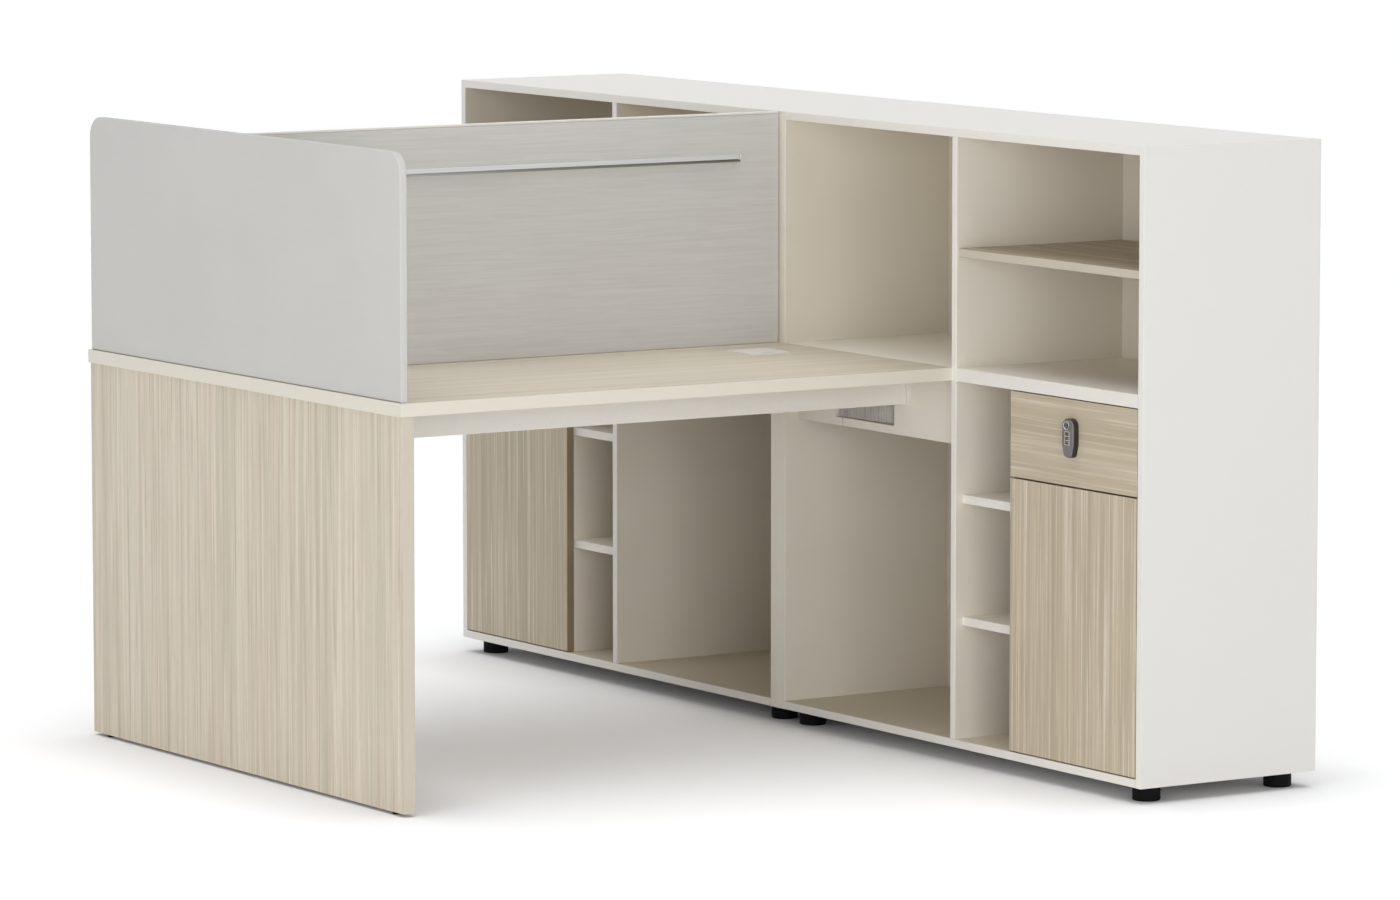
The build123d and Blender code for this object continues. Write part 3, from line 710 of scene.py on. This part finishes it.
def woven(name, across, light, dark, slub_share, thread):
    """Cloth whose weft runs along one horizontal axis and whose warp runs up."""
    material, tree, principled, coordinates = start_finish(name, Roughness=0.9)
    principled.inputs["Specular IOR Level"].default_value = 0.2
    principled.inputs["Sheen Weight"].default_value = 0.08
    principled.inputs["Sheen Roughness"].default_value = 0.5
    size = [slub_size["through"]] * 3
    size[grain_axes[across]] = slub_size["across"]
    size[grain_axes["Z"]] = slub_size["up"]
    slubs = stretched_noise(tree, coordinates, size, detail=3.0, rough=0.6)
    slubs.inputs["Distortion"].default_value = 0.6
    cloud = stretched_noise(tree, coordinates, [cloud_size] * 3, detail=2.0)
    blend = add_node(
        tree,
        "ShaderNodeMix",
        {"Factor": slub_share, 2: cloud.outputs["Fac"], 3: slubs.outputs["Fac"]},
        data_type="FLOAT",
    )
    tone = add_node(
        tree, "ShaderNodeValToRGB", {"Fac": blend.outputs[0]}, stops=[(0.38, dark), (0.62, light)]
    )
    tree.links.new(tone.outputs["Color"], principled.inputs["Base Color"])
    wave_scale = 1 / (waves_per_unit * thread)
    threads = [
        add_node(
            tree,
            "ShaderNodeTexWave",
            {"Vector": coordinates.outputs["Object"], "Scale": wave_scale},
            bands_direction=axis,
        )
        for axis in (across, "Z")
    ]
    weave = add_node(
        tree,
        "ShaderNodeMath",
        {0: threads[0].outputs["Fac"], 1: threads[1].outputs["Fac"]},
        operation="MAXIMUM",
    )
    yarn = add_node(
        tree, "ShaderNodeMath", {0: slubs.outputs["Fac"], 1: weave.outputs[0]}, operation="ADD"
    )
    bump = add_node(
        tree, "ShaderNodeBump", {"Height": yarn.outputs[0], "Strength": 0.35, "Distance": 0.25 * MM}
    )
    tree.links.new(bump.outputs[0], principled.inputs["Normal"])
    return material


end_cloth = woven("fine_woven_polyester", "Y", "#D4D2CD", "#D1CFCA", 0.25, fine_thread)
centre_cloth = woven("slub_woven_polyester", "X", "#DBD9D4", "#D3D1CC", 0.75, slub_thread)
print("threads to the centimetre:", round(10 * MM / fine_thread, 1), round(10 * MM / slub_thread, 1))

# %% [markdown]
# The end screen has two large round corners at its top, and the cloth rounds the rims of both faces. The
# board starts as a box, because an edge of a box is easy to find. The top corners are its upper edges that
# run through the thickness. Once they are round, the rims are the sharp edges that don't. A thin grey
# strip parts the screen from the desk. Its grey is partly its own colour and partly painted shade, for the
# shadow line at the screen's foot.

# %% End screen
wrap_radius = 2.5 * MM
wrap_steps = 4
corner_radius = 40 * MM
corner_steps = 14
screen_seam = 0.8 * MM
seam_inset = Vector((2 * MM, 2 * MM, 0))
seam_ease = 0.3 * MM
screen_low, screen_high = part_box("end_screen")


def thickness_of(edge):
    """How far an edge of the end screen runs through the thickness of the board."""
    return abs(edge.verts[0].co.x - edge.verts[1].co.x)


end_panel = sharp_box(screen_low + Vector((0, 0, screen_seam)), screen_high)
top_corners = [
    edge for edge in end_panel.edges
    if thickness_of(edge) > wrap_radius and edge.verts[0].co.z > screen_high.z - wrap_radius
]
round_edges(end_panel, top_corners, corner_radius, corner_steps)
rims = [
    edge for edge in end_panel.edges
    if thickness_of(edge) < tolerance and edge.calc_face_angle() > sharp_angle
]
round_edges(end_panel, rims, wrap_radius, wrap_steps)
make_piece("end_screen_panel", end_panel, "root", [end_cloth], ["end_screen"])
seam_top = Vector((screen_high.x, screen_high.y, screen_low.z + screen_seam))
# The strip's grey is partly painted shade, the shadow line at the screen's foot
seam = rounded_box(screen_low + seam_inset, seam_top - seam_inset, seam_ease)
make_piece("end_screen_base_strip", seam, "root", [grey_plastic])

# %% [markdown]
# The centre screen's top edge catches the light as a thin pale line. On such screens a slim profile clips
# over the cloth and hides where it is tucked in, so it is its own small piece, and its pale coat is partly
# painted light for that line.

# %% Centre screen and its top profile
profile_height = 4 * MM
profile_round = 1.2 * MM
middle_low, middle_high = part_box("centre_screen")
panel_top = Vector((middle_high.x, middle_high.y, middle_high.z - profile_height))
centre_panel = rounded_box(middle_low, panel_top, wrap_radius, wrap_steps)
make_piece(
    "centre_screen_panel", centre_panel, "root", [centre_cloth], ["centre_screen"]
)
# The profile's pale coat is partly painted light, for the light that the top edge catches
profile = rounded_box((middle_low.x, middle_low.y, panel_top.z), middle_high, profile_round, 3)
make_piece("centre_screen_profile", profile, "root", [powder_coat])

# %% [markdown]
# Each accessory rail is a length of extrusion, sawn square. A small plastic plug covers each sawn end, as
# the rounded light end in the photograph shows. A plug is a rounded box from the screen's face outwards,
# so it hides the whole cut.

# %% Rail end plugs
plug_length = 3 * MM
plug_round = 1.2 * MM
rail_low, rail_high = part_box("accessory_rails")
plugs = bmesh.new()
for x in (rail_low.x - plug_length, rail_high.x):
    for sign in sides.values():
        ys = sorted((sign * middle_high.y, sign * rail_high.y))
        plug = rounded_box((x, ys[0], rail_low.z), (x + plug_length, ys[1], rail_high.z), plug_round, 3)
        pour(plugs, plug, at_origin)
make_piece("rail_end_plugs", plugs, "root", [flap_plastic])

# %% [markdown]
# The lock is a small casting screwed to the drawer front: a satin grey cover plate on a black base, with
# three windows for the number wheels and a round knob above them. It is only a thumb long, so five
# finishes tell its pieces apart before their shapes do.

# %% Lock finishes
# Enamelled zinc casting: even mid grey with a faint cloud, satin
casting_grey = coated(
    "enamelled_zinc_casting", "#827E7E", "#787474",
    grain=2.0 * MM, relief=0.02 * MM, roughness=0.36, metallic=0.25,
)
# Satin nickel trim of the windows and the sleeve: pale, and dull enough to hold a light tone all round
satin_trim = coated(
    "satin_nickel_trim", "#DEDCD8", "#D2D0CC",
    grain=2.0 * MM, relief=0.01 * MM, roughness=0.34, metallic=0.35,
)
# Moulded acetal behind the plate: near black, silky
acetal_black = coated(
    "moulded_acetal_black", "#2E2B2B", "#252323", grain=1.2 * MM, relief=0.02 * MM, roughness=0.38
)
# Polished chrome plate on the knob's ring: the brightest spot of the lock
chrome = coated(
    "chrome_plated_ring", "#DCDCDE", "#CFCFD2",
    grain=6.0 * MM, relief=0.005 * MM, roughness=0.14, metallic=1.0,
)
# Printed white ink of the wheel numbers, slightly worn
number_ink = coated(
    "printed_number_ink", "#EDEBE4", "#D8D5CC", grain=0.6 * MM, relief=0.005 * MM, roughness=0.5
)
print("finishes with the lock's:", len(bpy.data.materials))

# %% [markdown]
# The casting tapers towards its foot. Its outline is one face with rounded corners. Drawing that face
# back three times gives the plate, the step out to the base, and the base itself, so the three meet
# without a gap, as separate plates would not. The cover stays as the front, and each later face is
# deleted once it has been drawn on, because it would be left inside as a wall.

# %% Casing shell
foot_half_width = 11 * MM
taper_height = 24 * MM
shoulder_round = 15 * MM
foot_round = 6 * MM
corner_segments = 8
plate_thickness = 3 * MM
plate_step = 0.8 * MM
rim_round = 1.4 * MM
rim_steps = 4


def casing_shell(low, high, back_x):
    """The plate, the step and the base of a lock, as one closed shell from its front to back_x."""
    shell = bmesh.new()
    middle = (low + high) / 2
    half_width = (high.y - low.y) / 2
    width, foot = half_width - plate_step, foot_half_width - plate_step
    bottom, top = low.z + plate_step, high.z - plate_step
    right_side = [(width, top), (width, low.z + taper_height), (foot, bottom)]
    left_side = [(-y, z) for y, z in reversed(right_side)]
    corners = [shell.verts.new((low.x, middle.y + y, z)) for y, z in right_side + left_side]
    shell.faces.new(corners)
    shoulders, feet_corners = [corners[0], corners[5]], [corners[2], corners[3]]
    for pair, radius in ((shoulders, shoulder_round), (feet_corners, foot_round)):
        bmesh.ops.bevel(
            shell,
            geom=pair,
            offset=radius,
            segments=corner_segments,
            profile=0.5,
            affect="VERTICES",
            material=-1,
        )
    cover = shell.faces[:]
    about_middle = Matrix.Translation((0, -middle.y, -middle.z))
    step_out = (1, half_width / width, (high.z - low.z) / (top - bottom))
    base_depth = back_x - low.x - plate_thickness
    last = cover
    for reach, spread in ((plate_thickness, None), (0, step_out), (base_depth, None)):
        passed = [face for face in last if face not in cover]
        moved, last = draw_out(shell, last, (reach, 0, 0))
        bmesh.ops.delete(shell, geom=passed, context="FACES_ONLY")
        if spread:
            bmesh.ops.scale(shell, vec=spread, verts=moved, space=about_middle)
    rim = [edge for edge in shell.edges if all(abs(vert.co.x - low.x) < tolerance for vert in edge.verts)]
    round_edges(shell, rim, rim_round, rim_steps)
    bmesh.ops.recalc_face_normals(shell, faces=shell.faces[:])
    return shell


print("plate and step of the lock:", plate_thickness / MM, plate_step / MM, "mm")

# %% [markdown]
# A boolean could cut the windows, and would leave thin faces that shade badly. Straight cuts divide the
# front of the casing along their edges instead, and the faces between the cuts are pushed in as deep as a
# wheel needs. The same cuts, made in a small rectangle, leave holes when those faces are deleted, and
# what is left is drawn forwards as a bright frame round the windows.

# %% Lock windows
window_gap = 0.3 * MM
window_round = 0.3 * MM
bezel_width = 1.3 * MM
bezel_rise = 0.5 * MM


def window_faces(part, front_x, middle_y, half_window, wheel_boxes):
    """Divides the front along the edges of the windows, and returns the faces that fill them."""
    for y in (middle_y - half_window, middle_y + half_window):
        cut_through(part, (0, y, 0), (0, 1, 0))
    for low, high in wheel_boxes:
        for z in (low.z - window_gap, high.z + window_gap):
            cut_through(part, (0, 0, z), (0, 0, 1))
    filling = []
    for face in part.faces:
        spot = face.calc_center_median()
        in_front = abs(spot.x - front_x) < tolerance and abs(spot.y - middle_y) < half_window
        if in_front and any(low.z < spot.z < high.z for low, high in wheel_boxes):
            filling.append(face)
    return filling


def sink(part, chosen, depth):
    """Pushes each chosen face into the part along X, and returns the edges of the mouths."""
    mouths = [edge for face in chosen for edge in face.edges]
    for face in chosen:
        draw_out(part, [face], (depth, 0, 0))
        bmesh.ops.delete(part, geom=[face], context="FACES_ONLY")
    return mouths


def window_bezel(front_x, middle_y, half_window, wheel_boxes):
    """A bright frame that stands on the front, round all three windows."""
    bezel = bmesh.new()
    half_width = half_window + bezel_width
    bottom = wheel_boxes[-1][0].z - window_gap - bezel_width
    top = wheel_boxes[0][1].z + window_gap + bezel_width
    outline = ((-half_width, bottom), (half_width, bottom), (half_width, top), (-half_width, top))
    bezel.faces.new([bezel.verts.new((front_x, middle_y + y, z)) for y, z in outline])
    holes = window_faces(bezel, front_x, middle_y, half_window, wheel_boxes)
    bmesh.ops.delete(bezel, geom=holes, context="FACES")
    draw_out(bezel, bezel.faces[:], (-bezel_rise, 0, 0))
    return bezel


print("frame round the windows:", bezel_width / MM, "mm wide")

# %% [markdown]
# Behind the plate a sleeve runs through the drawer front for the knob's spindle, and a nut holds it from
# inside. The sleeve is a turned ring, and the nut is a hexagon drawn out and eased at its corners. They
# show once the drawer is pulled out. They never move against the casing, so all of it is one piece.

# %% Lock casings
sleeve_radius = 7 * MM
spindle_radius = 3 * MM
bore_gap = 0.2 * MM
nut_radius = 9.5 * MM
nut_thickness = 4 * MM
nut_ease = 0.4 * MM
wheel_numbers = (1, 2, 3)
in_grey, in_black, in_trim = range(3)
# Room for rounding where the colour of a face depends on its place
slack = 0.1 * MM


def locknut(radius, thickness):
    """A six-sided nut that stands on the origin, with its corners eased."""
    nut = bmesh.new()
    bmesh.ops.create_circle(nut, cap_ends=True, segments=6, radius=radius)
    draw_out(nut, nut.faces[:], (0, 0, thickness))
    bmesh.ops.recalc_face_normals(nut, faces=nut.faces[:])
    round_edges(nut, nut.edges[:], nut_ease, 2)
    return nut


def lock_casing(side):
    """A casing with its frame round the windows, its sleeve and its nut."""
    low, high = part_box(f"{side}_lock_body")
    board_front, board_back = (corner.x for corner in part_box(f"{side}_drawer_front"))
    wheel_boxes = [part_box(f"{side}_lock_wheel_{number}") for number in wheel_numbers]
    wheel_low, wheel_high = wheel_boxes[0]
    middle_y = (low.y + high.y) / 2
    half_window = (wheel_high.y - wheel_low.y) / 2 + window_gap
    casing = casing_shell(low, high, board_front)
    windows = window_faces(casing, low.x, middle_y, half_window, wheel_boxes)
    pocket_depth = wheel_high.x - low.x + window_gap
    round_edges(casing, sink(casing, windows, pocket_depth), window_round, 2)
    for face in casing.faces:
        spot = face.calc_center_median()
        depth = spot.x - low.x
        in_pocket = depth > window_round + slack and abs(spot.y - middle_y) < half_window + slack
        behind_plate = depth > plate_thickness - slack
        face.material_index = in_black if in_pocket or behind_plate else in_grey
    pour(casing, window_bezel(low.x, middle_y, half_window, wheel_boxes), at_origin, in_trim)
    knob_low, knob_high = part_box(f"{side}_lock_knob")
    spindle_z = (knob_low.z + knob_high.z) / 2
    spindle_line = Matrix.Translation((board_front, middle_y, spindle_z)) @ facing_back
    bore = spindle_radius + bore_gap
    reach = high.x - board_front
    sleeve = [(bore, 0), (sleeve_radius, 0), (sleeve_radius, reach), (bore, reach)]
    pour(casing, turned(sleeve, closed=True), spindle_line, in_trim)
    nut_place = spindle_line @ Matrix.Translation((0, 0, board_back - board_front))
    pour(casing, locknut(nut_radius, nut_thickness), nut_place, in_trim)
    print(side, "lock windows:", len(windows), "pocket depth:", round(pocket_depth / MM, 1), "mm")
    finishes = [casting_grey, acetal_black, satin_trim]
    replaced = [f"{side}_lock_body"]
    make_piece(f"{side}_lock_casing", casing, f"{side}_drawer", finishes, replaced)


for side in sides:
    lock_casing(side)

# %% [markdown]
# The knob is a lathe's work: a bright ring round a dish, with a finger grip across it and a slot for the
# manager's key. The slot is not cut: a thin dark bar on the grip stands in for it, as painted shade. Its
# outline is easiest to read about Z, so it is turned there, and then laid over so that its axis points
# out of the drawer.

# %% Lock knobs
knob_rise = 3 * MM
knob_steps = 48
ring_ease = 0.3 * MM
ring_slope = 1.0 * MM
dish_radius = 6.4 * MM
# The dish's colour starts a little inside its rim
dish_colour_share = 0.96
dish_draft = 0.2 * MM
dish_floor = 1.4 * MM
grip_half_width = 1.9 * MM
grip_round = 0.5 * MM
key_half_length = 2.6 * MM
key_half_width = 0.45 * MM
key_depth = 0.6 * MM
key_ease = 0.1 * MM
in_chrome, in_enamel, in_dark = range(3)
# How far a dark bar of painted shade, which stands in for a slot, stands out of the face that it marks, so
# that the two don't fight
painted_shade_rise = 0.02 * MM


def lock_knob(side):
    """A knob that turns with the spindle behind it."""
    low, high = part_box(f"{side}_lock_knob")
    centre = (low + high) / 2
    radius = (high.z - low.z) / 2
    back_x = low.x + knob_rise
    spindle = high.x - back_x
    outline = [
        (0, -spindle), (spindle_radius, -spindle), (spindle_radius, 0), (radius - ring_ease, 0),
        (radius, ring_ease), (radius, knob_rise - ring_slope), (radius - ring_ease, knob_rise - ring_ease),
        (radius - ring_slope, knob_rise), (dish_radius + ring_ease, knob_rise),
        (dish_radius, knob_rise - ring_ease), (dish_radius - dish_draft, dish_floor), (0, dish_floor),
    ]
    knob = turned(outline, knob_steps)
    for face in knob.faces:
        spot = face.calc_center_median()
        outside_dish = math.hypot(spot.x, spot.y) > dish_radius * dish_colour_share
        face.material_index = in_chrome if outside_dish else in_dark
    grip_low = (-dish_radius, -grip_half_width, dish_floor - dish_draft)
    grip = rounded_box(grip_low, (dish_radius, grip_half_width, knob_rise), grip_round, 3)
    pour(knob, grip, at_origin, in_enamel)
    # The key slot is a dark bar of painted shade, not a cut
    key_low = (-key_half_length, -key_half_width, knob_rise - key_depth)
    key_high = (key_half_length, key_half_width, knob_rise + painted_shade_rise)
    pour(knob, rounded_box(key_low, key_high, key_ease), at_origin, in_dark)
    place = Matrix.Translation((back_x, centre.y, centre.z)) @ facing_out
    bmesh.ops.transform(knob, matrix=place, verts=knob.verts[:])
    finishes = [chrome, casting_grey, acetal_black]
    replaced = [f"{side}_lock_knob"]
    make_piece(f"{side}_lock_turn_knob", knob, f"{side}_lock_knob", finishes, replaced)


for side in sides:
    lock_knob(side)

# %% [markdown]
# Small screws hold the door hinges and the cams: pan heads of nickel-plated steel with a cross recess.
# One head is turned on the lathe, with a shallow pit in its middle. Cutting a cross would cost many
# faces on a head this small, so two thin dark bars of painted shade stand in for it. Each head is then
# laid on the face that it clamps, where a screwdriver could reach it.

# %% Screws
head_radius = 3.4 * MM
head_height = 1.4 * MM
head_steps = 20
head_outline = [
    (0, 0), (head_radius, 0), (head_radius, 0.5 * MM), (2.9 * MM, 1.1 * MM), (2.0 * MM, head_height),
    (1.0 * MM, head_height), (0, 0.9 * MM),
]
recess_half_width = 0.28 * MM
recess_half_length = 1.5 * MM
recess_depth = 0.4 * MM
recess_ease = 0.08 * MM
# The cross recess is two dark bars of painted shade, not a cut
recess_low = (-recess_half_length, -recess_half_width, head_height - recess_depth)
recess_high = (recess_half_length, recess_half_width, head_height + painted_shade_rise)


def add_screw(target, place, turn):
    """Adds a screw head to a mesh, at a place, where a turn lays its axis along the screw."""
    head = turned(head_outline, head_steps)
    for across in (0, math.radians(90)):
        bar = rounded_box(recess_low, recess_high, recess_ease, 1)
        pour(head, bar, Matrix.Rotation(across, 4, "Z"), 1)
    pour(target, head, Matrix.Translation(place) @ turn)


arm_half_length = 25 * MM
arm_half_height = 20 * MM
arm_plate = 2 * MM
arm_rise = 4 * MM
# Two screws hold each arm's plate, above and below it, and two adjust the arm, along it
plate_screw_drops = (-14 * MM, 14 * MM)
arm_screw_places = (-16 * MM, 14 * MM)
cup_screw_drops = (-22.5 * MM, 22.5 * MM)
arms_low, arms_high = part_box("hinge_arms")
levels = (arms_low.z + arm_half_height, arms_high.z - arm_half_height)
arm_middle_x = arms_high.x - arm_half_length
arm_screws = bmesh.new()
for sign in sides.values():
    inward = Matrix.Rotation(math.radians(90 * sign), 4, "X")
    for level in levels:
        for drop in plate_screw_drops:
            place = (arm_middle_x, sign * (arms_high.y - arm_plate), level + drop)
            add_screw(arm_screws, place, inward)
        for along in arm_screw_places:
            place = (arm_middle_x + along, sign * (arms_high.y - arm_rise), level)
            add_screw(arm_screws, place, inward)
screw_finishes = [nickel, acetal_black]
make_piece("hinge_arm_screws", arm_screws, "root", screw_finishes)

for side in sides:
    cups_low, cups_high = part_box(f"{side}_hinge_cups")
    cup_screws = bmesh.new()
    for level in levels:
        for drop in cup_screw_drops:
            add_screw(cup_screws, (cups_high.x, (cups_low.y + cups_high.y) / 2, level + drop), facing_back)
    make_piece(f"{side}_hinge_cup_screws", cup_screws, f"{side}_door", screw_finishes)
    knob_low, knob_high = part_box(f"{side}_lock_knob")
    spindle_end = (knob_high.x, (knob_low.y + knob_high.y) / 2, (knob_low.z + knob_high.z) / 2)
    cam_screw = bmesh.new()
    add_screw(cam_screw, spindle_end, facing_back)
    make_piece(f"{side}_cam_screw", cam_screw, f"{side}_lock_knob", screw_finishes)

# %% [markdown]
# A number wheel has ten flats, one for each digit, and its corners between them are eased for the
# fingertip. The digits could be an image, which would need a map of the flats. Text needs none: it is
# made a mesh first and then laid on the flats, where it stands a hair proud, as ink does.

# %% Number wheels
wheel_flats = 10
wheel_ease = 0.1 * MM
flat_round = 0.5 * MM
digit_size = 4.6 * MM
ink_thickness = 0.04 * MM
digit_meshes = []
for digit in range(wheel_flats):
    writing = bpy.data.curves.new(f"digit_{digit}", "FONT")
    writing.body = str(digit)
    writing.size = digit_size
    writing.extrude = ink_thickness
    writing.align_x = "CENTER"
    writing.align_y = "CENTER"
    writing.resolution_u = 3
    holder = bpy.data.objects.new(f"digit_{digit}", writing)
    digit_meshes.append(bpy.data.meshes.new_from_object(holder))
    bpy.data.objects.remove(holder)


def number_wheel(side, number):
    """A wheel that shows its own number at the front."""
    low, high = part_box(f"{side}_lock_wheel_{number}")
    centre = (low + high) / 2
    half_turn = math.pi / wheel_flats
    radius = (high.y - low.y) / 2 / math.cos(half_turn) - wheel_ease
    wheel = bmesh.new()
    bmesh.ops.create_circle(wheel, cap_ends=True, segments=wheel_flats, radius=radius)
    draw_out(wheel, wheel.faces[:], (0, 0, high.z - low.z))
    bmesh.ops.recalc_face_normals(wheel, faces=wheel.faces[:])
    uprights = [edge for edge in wheel.edges if abs(edge.verts[0].co.z - edge.verts[1].co.z) > wheel_ease]
    round_edges(wheel, uprights, flat_round, 2)
    bmesh.ops.translate(wheel, vec=(centre.x, centre.y, low.z), verts=wheel.verts[:])
    flat = radius * math.cos(half_turn)
    upward = Vector((0, 0, 1))
    for digit, digit_mesh in enumerate(digit_meshes):
        turn = math.pi + 2 * half_turn * (digit - number)
        outward = Vector((math.cos(turn), math.sin(turn), 0))
        place = Matrix((upward.cross(outward), upward, outward)).transposed().to_4x4()
        place.translation = centre + outward * flat
        ink = bmesh.new()
        ink.from_mesh(digit_mesh)
        bmesh.ops.remove_doubles(ink, verts=ink.verts[:], dist=tolerance)
        pour(wheel, ink, place, 1)
    finishes = [acetal_black, number_ink]
    node = f"{side}_lock_wheel_{number}"
    make_piece(f"{side}_number_wheel_{number}", wheel, node, finishes, [node])


for side in sides:
    for number in wheel_numbers:
        number_wheel(side, number)

# %% [markdown]
# A brush closes each cable slot: nylon bristles, clamped along their tops in a channel, hang down and
# part round a cable. A hair system would leave no mesh to hand on, so each bristle is a three-sided
# strand in three lengths, so that it can bend, and waves along the strip lean neighbours into clumps.
# Real ones are a few tenths of a millimetre thick, and these are drawn about twice as thick to show.

# %% Brush strips
# Nylon monofilament: pale with darker strands, a soft gloss along each
bristle_nylon = coated(
    "nylon_bristles", "#FAF6F1", "#CDC7C2", grain=0.3 * MM, relief=0.02 * MM, roughness=0.45, along="Z"
)
channel_height = 10 * MM
channel_round = 0.8 * MM
strand_radius = 0.36 * MM
strands_per_row = 190
row_places = (-2.2 * MM, -0.8 * MM, 0.9 * MM, 2.3 * MM)
length_shares = (0.2, 0.3, 0.5)
tip_bend = 1.3
lean_room = 2.4 * MM
clump_lean, stray_lean, side_lean = 1.1 * MM, 0.5 * MM, 0.8 * MM
# Waves along a strip, in radians over its length, with a phase for each row of strands
broad_wave, fine_wave, tip_wave = (61, 1.9), (143, 4.1), (97, 2.3)
fine_share = 0.6
tip_cut, tip_wave_cut, tip_stray_cut = 0.01, 0.01, 0.05
brush_random = random.Random(11)


def ripple(wave, share, row):
    """The height of a wave at a share of the strip's length."""
    turns, phase = wave
    return math.sin(share * turns + row * phase)


def strand(length, lean_y, lean_x):
    """One bristle that hangs from the origin and bends towards its tip."""
    part = bmesh.new()
    bmesh.ops.create_circle(part, cap_ends=True, segments=3, radius=strand_radius)
    ring = part.edges[:]
    for share in length_shares:
        grown = bmesh.ops.extrude_edge_only(part, edges=ring)
        ring = [item for item in grown["geom"] if isinstance(item, bmesh.types.BMEdge)]
        tip = [item for item in grown["geom"] if isinstance(item, bmesh.types.BMVert)]
        bmesh.ops.translate(part, vec=(lean_x * share, lean_y * share, -length * share), verts=tip)
        lean_y *= tip_bend
    bmesh.ops.contextual_create(part, geom=ring)
    return part


def brush(side):
    """A channel with its rows of bristles."""
    low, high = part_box(f"{side}_brush_strip")
    middle_x = (low.x + high.x) / 2
    root_z = high.z - channel_height
    brush_mesh = rounded_box((low.x, low.y, root_z), high, channel_round)
    fall = root_z - low.z
    span = high.y - low.y - 2 * lean_room
    for row, row_place in enumerate(row_places):
        for number in range(strands_per_row):
            share = (number + brush_random.random()) / strands_per_row
            clump = ripple(broad_wave, share, row) + fine_share * ripple(fine_wave, share, row)
            cut = tip_cut + tip_wave_cut * ripple(tip_wave, share, row)
            cut += tip_stray_cut * brush_random.random()
            lean_y = clump * clump_lean + brush_random.uniform(-stray_lean, stray_lean)
            lean_x = brush_random.uniform(-side_lean, side_lean)
            root = (middle_x + row_place, low.y + lean_room + share * span, root_z)
            pour(brush_mesh, strand(fall * (1 - cut), lean_y, lean_x), Matrix.Translation(root), 1)
    finishes = [grey_plastic, bristle_nylon]
    replaced = [f"{side}_brush_strip"]
    make_piece(f"{side}_cable_brush", brush_mesh, "root", finishes, replaced)


for side in sides:
    brush(side)
